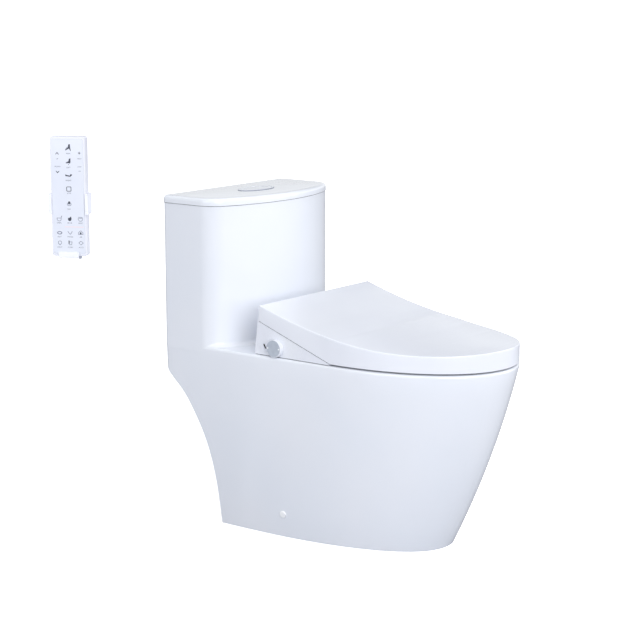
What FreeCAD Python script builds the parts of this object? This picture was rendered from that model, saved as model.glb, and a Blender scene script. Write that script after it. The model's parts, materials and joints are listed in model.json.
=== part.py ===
import FreeCAD, Part
import math
import os

# Smart toilet with a heated seat: a one-piece china bowl and tank, a bidet seat unit with its
# lid, and a remote control in its wall holder.
# Millimetres. +Z is up, the front of the bowl points to -Y. The origin is the centre of the
# waste outlet at floor level.

os.makedirs("parts", exist_ok=True)
V = FreeCAD.Vector

# ---------------------------------------------------------------- driving dimensions
# china body
FLOOR_TIP_Y = -299.0            # front of the foot
FLOOR_WIDE_Y = 120.0            # where the foot reaches its full width
FLOOR_HALF_W = 155.7
RIM_TIP_Y = -439.0              # front of the bowl rim
RIM_WIDE_Y = -150.0
BACK_HALF_W_FLOOR = 156.0
BACK_HALF_W_DECK = 197.5        # also half the width of the tank
RIM_SETBACK = 9.0               # the rim's side inside the tank's side
RIM_HALF_W = BACK_HALF_W_DECK - RIM_SETBACK
OVAL_POWER_FLOOR = 2.2
OVAL_POWER_RIM = 2.08
FRONT_BULGE = 13.0              # how far the front swells past a straight line
SIDE_FLARE = 1.5                # above 1, the sides turn upright towards the deck
SIDE_BREAK_Y = 110.0            # where the bowl's side meets the tank's side line
DECK_Z = 388.5
DECK_EDGE_R = 5.0
CHINA_WALL = 12.0
BODY_STATIONS = 5

# recess in the back of the skirt, and the rounded corner under the tank
BACK_FOOT_Y = 171.0
BACK_RISE_Z = 335.0
BACK_RISE_POWER = 2.9
BACK_CORNER_Z = 352.0
BACK_CORNER_DROP = 30.0         # where the recess turns upright into the tank's back
BACK_CORNER_IN = 9.0

# tank
TANK_BACK_Y = 290.0
TANK_FRONT_Y = 107.5
TANK_BOW = 50.6                 # how far the bowed front falls back at its sides
TANK_FRONT_CORNER_R = 50.0
TANK_BACK_CORNER_R = 10.0
TANK_TOP_Z = 682.0
TANK_WALL = 11.0
TANK_FLOOR_Z = 400.0
TANK_COVE_R = 10.0              # soft corner between the deck and the tank's front

# bowl basin: height, half width, front and back of each level
BASIN_LEVELS = ((392.0, 124.0, -393.0, -75.0), (340.0, 126.0, -395.0, -74.0),
                (280.0, 108.0, -376.0, -80.0), (220.0, 76.0, -325.0, -96.0),
                (165.0, 44.0, -262.0, -118.0), (120.0, 30.0, -215.0, -135.0))
BASIN_OVAL_POWER = 2.2

# trapway and flush channel, as (y, z) of their corners
TRAP_BORE_R = 27.0
TRAP_WALL = 10.0
TRAP_CORNERS = ((-190, 148), (-118, 148), (-40, 258), (45, 258), (60, 120), (0, 85), (0, 30))
TRAP_BENDS = (45, 45, 42, 40, 38)
CHANNEL_BORE_R = 29.0
CHANNEL_WALL = 10.0
CHANNEL_Z = 333.0
CHANNEL_BEND_R = 45.0

# waste outlet adapter
ADAPTER_PLATE = (184.0, 112.0, 6.0)
ADAPTER_BORE_R = 42.0
ADAPTER_WALL = 5.0
ADAPTER_TOP_Z = 54.0
ADAPTER_LEDGE_Z = 22.0
FLOOR_BOLT_SPACING = 152.0
FLOOR_BOLT_HOLE_R = 4.0

# side fixing of the skirt
SKIRT_SCREW_Y = 2.0
SKIRT_SCREW_Z = 51.0
SKIRT_HOLE_R = 6.0
SKIRT_CAP_R = 7.5
BRACKET_X = (98.0, 134.0)

# tank lid and flush buttons
TANK_LID_OVERHANG = 1.2
TANK_LID_GAP = 0.8
TANK_LID_H = 15.6
TANK_LID_EDGE_R = 8.0
TANK_LIP_H = 11.0
BUTTON_X = 3.0
BUTTON_Y = 202.0
BUTTON_A = 45.0                 # half length of the oval
BUTTON_B = 20.5                 # half width of the oval
BUTTON_SPLIT_X = -12.0          # the split between half and full flush
BEZEL_RING = 4.0
ROD_R = 3.0                     # push rods under the buttons

# flush valve
FLUSH_X = 0.0
FLUSH_Y = 195.0
VALVE_FLANGE_R = 41.0
CANISTER_R = 29.0
OVERFLOW_R = 12.0
OVERFLOW_TOP_Z = 606.0
CANISTER_TOP_Z = 500.0
VALVE_CAP_Z = 560.0
GUIDE_PLATE_Z = 640.0

# fill valve
FILL_X = -125.0
FILL_Y = 226.0
FILL_COLUMN_R = 14.0
FILL_TOP_Z = 604.0
FILL_COLLAR_Z = 440.0
FLOAT_R = 30.0
FLOAT_H = 58.0
SHANK_R = 12.5                  # threaded shank through the tank floor
SUPPLY_END_R = 11.1             # its free end, for the supply hose's coupling nut
SUPPLY_END_H = 22.0
SHANK_LOW_Z = 342.0
REFILL_TUBE_R = 3.5

# seat lid
LID_SETBACK = 1.0               # lid's side inside the rim's side
LID_TIP_SETBACK = 1.5
LID_HALF_W = RIM_HALF_W - LID_SETBACK
LID_TIP_Y = RIM_TIP_Y + LID_TIP_SETBACK
LID_BACK_Y = 42.5
LID_LEAN = 2.5                  # how far the lid's back leans forward at its top
LID_EDGE_Z = 392.5
LID_TOP_LOW_Y = -340.0          # lowest place of the dished top
LID_TOP_LOW_Z = 426.5
LID_TOP_R = 1150.0
LID_SKIN = 4.0
LID_CREASE_R = 2.0
LID_BACK_WALL_W = 15.5          # the back wall reaches down only this far in from each side
SEAM_FOOT_Y = -140.0            # where the slanted side seam starts
SEAM_TOP_Z = 459.0              # height of the seam at the lid's back
SEAM_GAP = 1.5

# shared hinge line of seat and lid
HINGE_Y = 34.0
HINGE_Z = 474.0
BARREL_R = 7.5
PIN_R = 3.5
PIN_CLEARANCE = 0.06
SEAT_HUB_X = (130.0, 148.0)
LID_HUB_X = (150.0, 168.0)

# bidet unit under the lid
UNIT_SETBACK = 1.5              # unit's side inside the rim's side
UNIT_HALF_W = RIM_HALF_W - UNIT_SETBACK
UNIT_BACK_FOOT_Y = 52.0
UNIT_BACK_TOP_Y = 44.0
UNIT_BOTTOM_Z = 389.7
UNIT_SKIN = 3.0
CHEEK_TIP_Y = -136.0
CHEEK_INNER_X = 150.0
HUMP_HALF_W = 126.0
HUMP_FRONT_Y = -62.0
HUMP_FRONT_TOP_Z = 449.0
HUMP_FRONT_R = 9.0
HUMP_WALL_BACK = 2.0            # the hump's back wall behind the hinge line
SNOUT_HALF_W = 47.0
SNOUT_FRONT_Y = -88.0
SNOUT_TOP_Z = 409.0             # at its front
CASE_Z = (391.3, 393.8)
BASE_PLATE_H = 2.5
SEAT_BOLT_X = 69.85
SEAT_BOLT_TO_RIM = 470.0
SEAT_BOLT_R = 4.0
SEAT_BOLT_HOLE_R = 7.0

# heated seat
SEAT_SETBACK = 6.5              # seat inside the lid, sides and tip
SEAT_HALF_W = LID_HALF_W - SEAT_SETBACK
SEAT_TIP_Y = LID_TIP_Y + SEAT_SETBACK
SEAT_BOTTOM_Z = 396.0
SEAT_THICK = 21.0
SEAT_SKIN = 3.5
SEAT_GAP = 2.5                  # seat arm over the unit's slope
SEAT_BAR_BACK_Y = -66.0
SEAT_HOLE = (105.0, -378.0, -118.0)
SEAT_BEND_R = 90.0              # bend where the level seat starts to climb
SEAT_EDGE_R = 7.0
SEAT_SIDE_GAP = 3.5

# water inlet and cable gland at the unit's back
INLET_X = -112.0
GLAND_X = 112.0
PORT_Z = 404.0
INLET_THREAD_R = 10.4
INLET_LENGTH = 14.0

# filter knob and release button on the unit's side
KNOB_Y = -4.0
KNOB_Z = 408.0
KNOB_R = 18.5
KNOB_DEPTH = 9.6
KNOB_GAP = 0.4                  # knob to the unit's side
KNOB_FACE_X = -UNIT_HALF_W - KNOB_GAP - KNOB_DEPTH
KNOB_STEM_R = 6.0
BOARD_W = 42.0                  # control board, inside the unit's right side
RELEASE_Y = 26.0
RELEASE_Z = 407.5
RELEASE_W = 4.0
RELEASE_H = 9.0
RELEASE_LEAN = 2.5
RELEASE_TRAVEL = 3.0
RELEASE_FLANGE = 3.0            # back of its flange, in from the cover's inside

# wash wand
WAND_X = -12.0
WAND_R = 5.5
WAND_TIP_Y = -85.0
WAND_TIP_Z = 397.5
WAND_SLOPE = 25.0               # degrees below level
WAND_LENGTH = 122.0

# warm-air dryer
FAN_X = 62.0
FAN_Y = -14.0
FAN_R = 21.0
BLOWER_R = 27.0
BLOWER_Z = (394.2, 424.0)
DRYER_X = 24.0
DRYER_HALF_W = 14.0
FLAP_AXIS = (-86.5, 406.8)      # (y, z) of the dryer flap's pins
FLAP_PIN_R = 1.2

# remote control and its wall holder
REMOTE_PLACE = (-742.0, 7.0, 769.0)
REMOTE_TURN = -60.0             # degrees about +Z
REMOTE_W = 62.0
REMOTE_H = 208.0
REMOTE_D = 22.0
REMOTE_R = 4.0
REMOTE_SKIN = 2.0
CLIP_Z = (-31.0, 5.0)
CLIP_T = 3.2
HOLDER_GAP = 0.4
HOLDER_SPINE_W = 36.0
LEDGE_X = (-20.0, 17.0)         # the tray under the remote
LEDGE_T = 2.6
LEDGE_LIP_H = 10.0
HOLDER_HOLE_PCD = 60.0
HOLDER_HOLE_R = 2.3
HOLDER_HOLE_Z = -52.0           # middle of the two screw holes

NEAR = 0.3                      # gap between neighbours that aren't a fit


# ---------------------------------------------------------------- helpers
def mix(a, b, t):
    return a + (b - a) * t


def box(x0, x1, y0, y1, z0, z1):
    return Part.makeBox(x1 - x0, y1 - y0, z1 - z0, V(x0, y0, z0))


def cyl(radius, base, axis, length):
    return Part.makeCylinder(radius, length, V(*base), V(*axis))


def ring(outer, inner, base, axis, length):
    return cyl(outer, base, axis, length).cut(cyl(inner, base, axis, length))


def fuse(*shapes):
    return shapes[0].multiFuse(list(shapes[1:])).removeSplitter()


def cut(shape, *tools):
    for tool in tools:
        shape = shape.cut(tool)
    return shape


def mirrored(shape):
    return shape.mirror(V(0, 0, 0), V(1, 0, 0))


def both_sides(shape):
    return Part.makeCompound([shape, mirrored(shape)])


def prism_x(points, x0, x1):
    """A solid whose (y, z) outline runs from x0 to x1."""
    corners = [V(x0, y, z) for y, z in points]
    return Part.Face(Part.makePolygon(corners + corners[:1])).extrude(V(x1 - x0, 0, 0))


def prism_z(wire, z0, z1):
    face = Part.Face(wire)
    face.translate(V(0, 0, z0 - wire.BoundBox.ZMin))
    return face.extrude(V(0, 0, z1 - z0))


def oval_points(half_w, wide_y, tip_y, power, z, count=14):
    """Front half of a superellipse, from -X round the tip to +X."""
    points = []
    for i in range(count + 1):
        angle = math.pi * (i / count - 0.5)
        across = math.copysign(abs(math.sin(angle)) ** (2 / power), angle)
        ahead = abs(math.cos(angle)) ** (2 / power) if i not in (0, count) else 0.0
        points.append(V(half_w * across, wide_y - (wide_y - tip_y) * ahead, z))
    return points


def front_curve(half_w, wide_y, tip_y, power, z=0.0, back_half_w=None, back_y=None):
    """Round front; with back_half_w and back_y its two sides run on to there."""
    points = oval_points(half_w, wide_y, tip_y, power, z)
    if back_y is not None:
        steps = [(s, s * s * (3 - 2 * s)) for s in (1 / 3, 2 / 3, 1.0)]
        right = [V(mix(half_w, back_half_w, ease), mix(wide_y, back_y, s), z) for s, ease in steps]
        points = [V(-p.x, p.y, z) for p in reversed(right)] + points + right
    curve = Part.BSplineCurve()
    curve.interpolate(Points=points, InitialTangent=V(0, -1, 0), FinalTangent=V(0, 1, 0))
    return curve.toShape()


def closed_oval(half_w, front_y, back_y, power, z=0.0, count=24):
    """A closed superellipse between front_y and back_y."""
    mid_y, reach = (front_y + back_y) / 2, (back_y - front_y) / 2
    points = []
    for i in range(count):
        angle = 2 * math.pi * i / count
        c, s = math.cos(angle), math.sin(angle)
        points.append(V(half_w * math.copysign(abs(s) ** (2 / power), s),
                        mid_y - reach * math.copysign(abs(c) ** (2 / power), c), z))
    curve = Part.BSplineCurve()
    curve.interpolate(Points=points, PeriodicFlag=True)
    return Part.Wire(curve.toShape())


def polyline_edges(points):
    return [Part.LineSegment(a, b).toShape() for a, b in zip(points, points[1:])]


def lid_plan(half_w, wide_y, tip_y, back_y, power=OVAL_POWER_RIM):
    """Plan outline with a round front and a straight back."""
    edges = [front_curve(half_w, wide_y, tip_y, power)]
    edges += polyline_edges([V(half_w, wide_y, 0), V(half_w, back_y, 0),
                             V(-half_w, back_y, 0), V(-half_w, wide_y, 0)])
    return Part.Wire(edges)


def ellipse_prism(x, y, a, b, z0, z1):
    edge = Part.Ellipse(V(x, y, z0), a, b).toShape()
    return Part.Face(Part.Wire(edge)).extrude(V(0, 0, z1 - z0))


def rounded_path(points, bends):
    """Straight runs joined by tangent arcs, one bend radius per inner corner."""
    edges, start = [], points[0]
    for before, corner, after, radius in zip(points, points[1:], points[2:], bends):
        go_in = (corner - before).normalize()
        go_out = (after - corner).normalize()
        half_turn = go_in.getAngle(go_out) / 2
        reach = radius * math.tan(half_turn)
        inward = (go_out - go_in).normalize()
        centre = corner + inward * (radius / math.cos(half_turn))
        arc_in, arc_out = corner - go_in * reach, corner + go_out * reach
        edges.append(Part.LineSegment(start, arc_in).toShape())
        edges.append(Part.Arc(arc_in, centre - inward * radius, arc_out).toShape())
        start = arc_out
    edges.append(Part.LineSegment(start, points[-1]).toShape())
    return Part.Wire(edges)


def pipe(points, bends, radius):
    path = rounded_path(points, bends)
    heading = points[1] - points[0]
    profile = Part.Wire(Part.Circle(points[0], heading, radius).toShape())
    return path.makePipeShell([profile], True, False)


def hex_nut(half_flats, bore_r, base, height):
    corner = half_flats / math.cos(math.pi / 6)
    points = [V(base[0] + corner * math.cos(math.pi * k / 3), base[1] + corner * math.sin(math.pi * k / 3),
                base[2]) for k in range(6)]
    nut = Part.Face(Part.makePolygon(points + points[:1])).extrude(V(0, 0, height))
    return nut.cut(cyl(bore_r, base, (0, 0, 1), height))


def save(name, shape):
    solids = shape.Solids
    shape = solids[0] if len(solids) == 1 else Part.makeCompound(solids)
    if not (solids and shape.isValid()):
        print("bad solid:", name, len(solids))
    shape.exportStep("parts/" + name + ".step")


# ---------------------------------------------------------------- china body
def body_levels(z):
    """Half width, back half width, widest y, tip y and oval power at height z."""
    t = z / DECK_Z
    flare = 1 - max(1 - t, 0.0) ** SIDE_FLARE
    return (mix(FLOOR_HALF_W, RIM_HALF_W, flare), mix(BACK_HALF_W_FLOOR, BACK_HALF_W_DECK, flare),
            mix(FLOOR_WIDE_Y, RIM_WIDE_Y, t),
            mix(FLOOR_TIP_Y, RIM_TIP_Y, t) - 4 * FRONT_BULGE * t * (1 - t),
            mix(OVAL_POWER_FLOOR, OVAL_POWER_RIM, t))


def skirt_x(y, z):
    """Half width of the skirt's outside at y, in front of its widest place."""
    half_w, _, wide_y, tip_y, power = body_levels(z)
    return half_w * (1 - ((wide_y - y) / (wide_y - tip_y)) ** power) ** (1 / power)


def body_section(z, inset=0.0, back_y=TANK_BACK_Y - 0.2):
    """Level outline of bowl and skirt at height z."""
    half_w, back_half_w, wide_y, tip_y, power = body_levels(z)
    half_w, back_half_w, tip_y = half_w - inset, back_half_w - inset, tip_y + inset
    break_y = max(SIDE_BREAK_Y, wide_y + CHINA_WALL)
    r = TANK_BACK_CORNER_R
    turn = r * (1 - math.sqrt(0.5))

    def corner(side):
        return Part.Arc(V(side * back_half_w, back_y - r, z), V(side * (back_half_w - turn), back_y - turn, z),
                        V(side * (back_half_w - r), back_y, z)).toShape()

    edges = [front_curve(half_w, wide_y, tip_y, power, z, back_half_w, break_y)]
    edges += polyline_edges([V(back_half_w, break_y, z), V(back_half_w, back_y - r, z)])
    edges.append(corner(1))
    edges += polyline_edges([V(back_half_w - r, back_y, z), V(r - back_half_w, back_y, z)])
    edges.append(corner(-1))
    edges += polyline_edges([V(-back_half_w, back_y - r, z), V(-back_half_w, break_y, z)])
    return Part.Wire(Part.__sortEdges__(edges))


def body_loft(z0, z1, inset=0.0, back_y=TANK_BACK_Y - 0.2):
    last = BODY_STATIONS - 1
    wires = [body_section(mix(z0, z1, i / last), inset, back_y) for i in range(BODY_STATIONS)]
    return Part.makeLoft(wires, True, False)


def back_recess():
    """What is taken away behind the skirt, below the tank."""
    shares = (0, 0.2, 0.4, 0.57, 0.71, 0.825)
    depth = TANK_BACK_Y - BACK_FOOT_Y
    low_z = BACK_CORNER_Z - BACK_CORNER_DROP
    points = [V(0, BACK_FOOT_Y + depth * (BACK_CORNER_Z * share / BACK_RISE_Z) ** BACK_RISE_POWER,
                BACK_CORNER_Z * share) for share in shares]
    points.append(V(0, TANK_BACK_Y - BACK_CORNER_IN, low_z))
    points.append(V(0, TANK_BACK_Y, BACK_CORNER_Z))
    curve = Part.BSplineCurve()
    curve.interpolate(Points=points, InitialTangent=V(0, 0, 1), FinalTangent=V(0, 0, 1))
    far_y, under_z = TANK_BACK_Y + 60, -10.0
    edges = [curve.toShape()]
    edges += polyline_edges([points[-1], V(0, far_y, BACK_CORNER_Z), V(0, far_y, under_z),
                             V(0, BACK_FOOT_Y, under_z), points[0]])
    face = Part.Face(Part.Wire(edges))
    face.translate(V(-BACK_HALF_W_DECK - 10, 0, 0))
    return face.extrude(V(2 * BACK_HALF_W_DECK + 20, 0, 0))


def tank_wire(grow=0.0, z=0.0):
    """Plan outline of the tank: flat back and sides, bowed front, rounded corners."""
    half_w, back_y, front_y = BACK_HALF_W_DECK + grow, TANK_BACK_Y + grow, TANK_FRONT_Y - grow
    bow_r = (BACK_HALF_W_DECK ** 2 + TANK_BOW ** 2) / (2 * TANK_BOW) + grow
    bow_y = front_y + bow_r
    r = TANK_FRONT_CORNER_R + grow
    corner_x = half_w - r
    corner_y = bow_y - math.sqrt((bow_r - r) ** 2 - corner_x ** 2)
    reach = math.hypot(corner_x, bow_y - corner_y)
    touch = V(corner_x + r * corner_x / reach, corner_y - r * (bow_y - corner_y) / reach, z)
    swing = (math.atan2(touch.y - corner_y, touch.x - corner_x)) / 2
    middle = V(corner_x + r * math.cos(swing), corner_y + r * math.sin(swing), z)
    side = V(half_w, corner_y, z)
    b = max(TANK_BACK_CORNER_R + grow, 1.0)
    turn = b * (1 - math.sqrt(0.5))

    def flip(p):
        return V(-p.x, p.y, p.z)

    def back_corner(s):
        return Part.Arc(V(s * half_w, back_y - b, z), V(s * (half_w - turn), back_y - turn, z),
                        V(s * (half_w - b), back_y, z)).toShape()

    edges = [Part.Arc(flip(touch), V(0, front_y, z), touch).toShape(),
             Part.Arc(touch, middle, side).toShape(),
             Part.LineSegment(side, V(half_w, back_y - b, z)).toShape(),
             back_corner(1),
             Part.LineSegment(V(half_w - b, back_y, z), V(b - half_w, back_y, z)).toShape(),
             back_corner(-1),
             Part.LineSegment(V(-half_w, back_y - b, z), flip(side)).toShape(),
             Part.Arc(flip(side), flip(middle), flip(touch)).toShape()]
    return Part.Wire(Part.__sortEdges__(edges))


def basin(grow=0.0, low_z=None):
    wires = []
    for z, half_w, front_y, back_y in BASIN_LEVELS:
        if low_z is not None and z == BASIN_LEVELS[-1][0]:
            z = low_z
        wires.append(closed_oval(half_w + grow, front_y - grow, back_y + grow, BASIN_OVAL_POWER, z))
    return Part.makeLoft(wires, True, False)


def trap(radius):
    points = [V(0, y, z) for y, z in TRAP_CORNERS]
    return pipe(points, TRAP_BENDS, radius)


def flush_channel(radius):
    points = [V(FLUSH_X, FLUSH_Y, TANK_FLOOR_Z + 4), V(FLUSH_X, FLUSH_Y, CHANNEL_Z), V(FLUSH_X, -95, CHANNEL_Z)]
    return pipe(points, (CHANNEL_BEND_R,), radius)


def china_body():
    deck_under = DECK_Z - CHINA_WALL
    shell = body_loft(0.0, DECK_Z)
    top_edges = [e for e in shell.Edges if e.BoundBox.ZMin > DECK_Z - 0.01]
    shell = shell.makeFillet(DECK_EDGE_R, top_edges)
    shell = shell.cut(back_recess())
    tank = prism_z(tank_wire(), deck_under, TANK_TOP_Z)
    shell = shell.fuse(tank)
    foot = [e for e in shell.Edges if e.Curve.TypeId == "Part::GeomCircle"
            and max(abs(e.BoundBox.ZMin - DECK_Z), abs(e.BoundBox.ZMax - DECK_Z)) < 0.01
            and e.BoundBox.YMax < TANK_BACK_Y - TANK_BACK_CORNER_R]
    shell = shell.makeFillet(TANK_COVE_R, foot)
    void = body_loft(-1.0, deck_under, CHINA_WALL, TANK_BACK_Y + 40)
    kept = fuse(basin(CHINA_WALL, 108.0), trap(TRAP_BORE_R + TRAP_WALL),
                flush_channel(CHANNEL_BORE_R + CHANNEL_WALL))
    void = void.cut(kept)
    shell = shell.cut(void)
    cavity = prism_z(tank_wire(-TANK_WALL), TANK_FLOOR_Z, TANK_TOP_Z + 10)
    holes = [cavity, basin(), trap_bore(), flush_channel(CHANNEL_BORE_R),
             cyl(SHANK_R + 0.5, (FILL_X, FILL_Y, deck_under - 5), (0, 0, 1), 60)]
    for side in (-1, 1):
        holes.append(cyl(SEAT_BOLT_HOLE_R, (side * SEAT_BOLT_X, seat_bolt_y(), deck_under - 5), (0, 0, 1), 30))
        holes.append(cyl(SKIRT_HOLE_R, (side * 120, SKIRT_SCREW_Y, SKIRT_SCREW_Z), (side, 0, 0), 80))
    return cut(shell, *holes)


def trap_bore():
    """The trapway's bore, run a little past the foot of the outlet horn."""
    points = [V(0, y, z) for y, z in TRAP_CORNERS]
    points[-1] = V(0, 0, TRAP_CORNERS[-1][1] - 5)
    return pipe(points, TRAP_BENDS, TRAP_BORE_R)


def seat_bolt_y():
    return RIM_TIP_Y + SEAT_BOLT_TO_RIM


# ---------------------------------------------------------------- floor fixings
def outlet_adapter():
    long_x, wide_y, thick = ADAPTER_PLATE
    plate = box(-long_x / 2, long_x / 2, -wide_y / 2, wide_y / 2, 0, thick)
    plate = plate.makeFillet(18, [e for e in plate.Edges if e.BoundBox.ZLength > thick / 2])
    cup = cyl(ADAPTER_BORE_R + ADAPTER_WALL, (0, 0, 0), (0, 0, 1), ADAPTER_TOP_Z)
    body = plate.fuse(cup)
    through = cyl(TRAP_BORE_R, (0, 0, -1), (0, 0, 1), ADAPTER_TOP_Z + 2)
    below = cyl(ADAPTER_BORE_R, (0, 0, -1), (0, 0, 1), ADAPTER_LEDGE_Z + 1)
    ledge_top = TRAP_CORNERS[-1][1] - NEAR
    above = cyl(ADAPTER_BORE_R, (0, 0, ledge_top), (0, 0, 1), ADAPTER_TOP_Z)
    bolts = [cyl(FLOOR_BOLT_HOLE_R, (s * FLOOR_BOLT_SPACING / 2, 0, -1), (0, 0, 1), thick + 2) for s in (-1, 1)]
    return cut(body, through, below, above, *bolts)


def outlet_seal():
    low = TRAP_CORNERS[-1][1] + 3
    return ring(ADAPTER_BORE_R - 0.1, TRAP_BORE_R + TRAP_WALL + 0.1, (0, 0, low), (0, 0, 1),
                ADAPTER_TOP_Z - low - 4)


def skirt_normal():
    """Outward unit vector of the skirt at its fixing screw, +X side."""
    slope_y = (skirt_x(SKIRT_SCREW_Y + 1, SKIRT_SCREW_Z) - skirt_x(SKIRT_SCREW_Y - 1, SKIRT_SCREW_Z)) / 2
    slope_z = (skirt_x(SKIRT_SCREW_Y, SKIRT_SCREW_Z + 1) - skirt_x(SKIRT_SCREW_Y, SKIRT_SCREW_Z - 1)) / 2
    return V(1, -slope_y, -slope_z).normalize()


def make_floor_fixings():
    y, z = SKIRT_SCREW_Y, SKIRT_SCREW_Z
    outside = skirt_x(y, z)
    boss_r = 8.0
    boss_end = skirt_x(y, z - boss_r) - CHINA_WALL - NEAR
    bracket = box(*BRACKET_X, y - 20, y + 22, 0, z + 15)
    bracket = bracket.makeFillet(4, [e for e in bracket.Edges if e.BoundBox.ZLength > z])
    bracket = bracket.fuse(cyl(boss_r, (BRACKET_X[1] - 1, y, z), (1, 0, 0), boss_end - BRACKET_X[1] + 1))
    bracket = cut(bracket, box(BRACKET_X[0] + 5, BRACKET_X[1] - 5, y - 14, y + 16, -1, z - boss_r - 6),
                  cyl(3.05, (BRACKET_X[0] + 10, y, z), (1, 0, 0), 60))
    save("floor_brackets", both_sides(bracket))
    screw = cyl(3.0, (BRACKET_X[0] + 15, y, z), (1, 0, 0), outside - CHINA_WALL - BRACKET_X[0] - 10)
    head = cyl(SKIRT_HOLE_R - 0.6, (outside - CHINA_WALL + 1, y, z), (1, 0, 0), 3.5)
    save("skirt_screws", both_sides(fuse(screw, head)))
    face = V(outside, y, z)
    out = skirt_normal()
    disc = Part.makeCylinder(SKIRT_CAP_R, 2.4, face + out * 0.1, out)
    disc = disc.makeFillet(1.2, [disc.Edges[0]])
    plug = Part.makeCylinder(SKIRT_HOLE_R - 0.5, 3.2, face - out * 2.8, out)
    save("screw_caps", both_sides(fuse(disc, plug)))
    save("outlet_adapter", outlet_adapter())
    save("outlet_seal", outlet_seal())


# ---------------------------------------------------------------- tank fittings
def make_flush_valve():
    x, y, z = FLUSH_X, FLUSH_Y, TANK_FLOOR_Z
    up = (0, 0, 1)
    save("flush_valve_gasket", ring(VALVE_FLANGE_R, CHANNEL_BORE_R + 1, (x, y, z), up, 3))
    flange_z = z + 3
    seat_z = flange_z + 7
    flange = ring(VALVE_FLANGE_R - 1, CANISTER_R - 3, (x, y, flange_z), up, 7)
    spigot = ring(CHANNEL_BORE_R - 0.2, CANISTER_R - 3, (x, y, z - 14), up, 18)
    cap_z = VALVE_CAP_Z
    cap = ring(VALVE_FLANGE_R - 3, OVERFLOW_R - 1, (x, y, cap_z), up, 6)
    overflow = ring(OVERFLOW_R, OVERFLOW_R - 2, (x, y, seat_z + 4), up, OVERFLOW_TOP_Z - seat_z - 4)
    legs = []
    for k in range(3):
        angle = math.radians(90 + 120 * k)
        leg = box(-4, 4, VALVE_FLANGE_R - 7, VALVE_FLANGE_R - 3.5, seat_z - 1, cap_z + 1)
        leg.rotate(V(0, 0, 0), V(0, 0, 1), math.degrees(angle))
        leg.translate(V(x, y, 0))
        legs.append(leg)
    plate_z = GUIDE_PLATE_Z
    rods = button_rod_places()
    plate = box(rods[0][0] - 9, rods[1][0] + 12, y - 3, y + 22, plate_z - 4, plate_z)
    posts = [box(px, px + 5, y + 18, y + 22, cap_z + 3, plate_z - 3) for px in (x - 20, x + 15)]
    bore = [cyl(ROD_R + NEAR, (rx, ry, plate_z - 6), up, 10) for rx, ry in rods]
    save("flush_valve_body", fuse(flange, spigot, cap, overflow, *legs, plate, *posts).cut(
        Part.makeCompound(bore)))
    seal = ring(CANISTER_R, CANISTER_R - 8, (x, y, seat_z + NEAR), up, 3)
    save("flush_seal", seal)
    canister = ring(CANISTER_R, OVERFLOW_R + 0.6, (x, y, seat_z + NEAR + 3), up, CANISTER_TOP_Z - seat_z - 3)
    hollow = ring(CANISTER_R - 2.5, OVERFLOW_R + 3.5, (x, y, seat_z + 12), up, CANISTER_TOP_Z)
    save("flush_canister", canister.cut(hollow))


def make_fill_valve():
    x, y, z = FILL_X, FILL_Y, TANK_FLOOR_Z
    up = (0, 0, 1)
    step_z = SHANK_LOW_Z + SUPPLY_END_H
    shank = ring(SHANK_R, SUPPLY_END_R - 4, (x, y, step_z), up, z - step_z + 5)
    end = ring(SUPPLY_END_R, SUPPLY_END_R - 4, (x, y, SHANK_LOW_Z), up, SUPPLY_END_H + 1)
    flange = cyl(SHANK_R + 7, (x, y, z + 2.5), up, 5)
    column = cyl(FILL_COLUMN_R, (x, y, z + 6), up, FILL_TOP_Z - z - 10)
    collar = cyl(FILL_COLUMN_R + 5, (x, y, FILL_COLLAR_Z - 6), up, 6)
    head = cyl(FILL_COLUMN_R + 7, (x, y, FILL_TOP_Z - 12), up, 22)
    outlet = cyl(4, (x + FILL_COLUMN_R, y, FILL_TOP_Z - 2), (1, 0, 0), 14)
    save("fill_valve", fuse(shank, end, flange, column, collar, head, outlet))
    save("fill_valve_washer", ring(SHANK_R + 6, SHANK_R + 0.1, (x, y, z), up, 2.4))
    nut_h = 10.0
    save("fill_valve_nut", hex_nut(17, SHANK_R + 0.1, (x, y, DECK_Z - CHINA_WALL - NEAR - nut_h), nut_h))
    inner = FILL_COLUMN_R + 1
    cup = ring(FLOAT_R, inner, (x, y, FILL_COLLAR_Z + NEAR), up, FLOAT_H)
    hollow = ring(FLOAT_R - 2.5, inner + 2.5, (x, y, FILL_COLLAR_Z - 1), up, FLOAT_H - 3)
    save("fill_float", cup.cut(hollow))
    start = V(x + FILL_COLUMN_R + 14 + NEAR, y, FILL_TOP_Z - 2)
    top_z = OVERFLOW_TOP_Z + 9
    points = [start, V(x + 50, y - 1, FILL_TOP_Z - 2), V(x + 70, y - 8, top_z),
              V(FLUSH_X - 30, FLUSH_Y + 4, top_z), V(FLUSH_X, FLUSH_Y, top_z - 6),
              V(FLUSH_X, FLUSH_Y, OVERFLOW_TOP_Z - 14)]
    tube = pipe(points, (20, 20, 40, 12), REFILL_TUBE_R)
    save("refill_tube", tube)


def button_rod_places():
    """(x, y) of the half-flush rod and the full-flush rod."""
    return ((BUTTON_X - 29, BUTTON_Y), (BUTTON_X + 13, BUTTON_Y))


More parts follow.
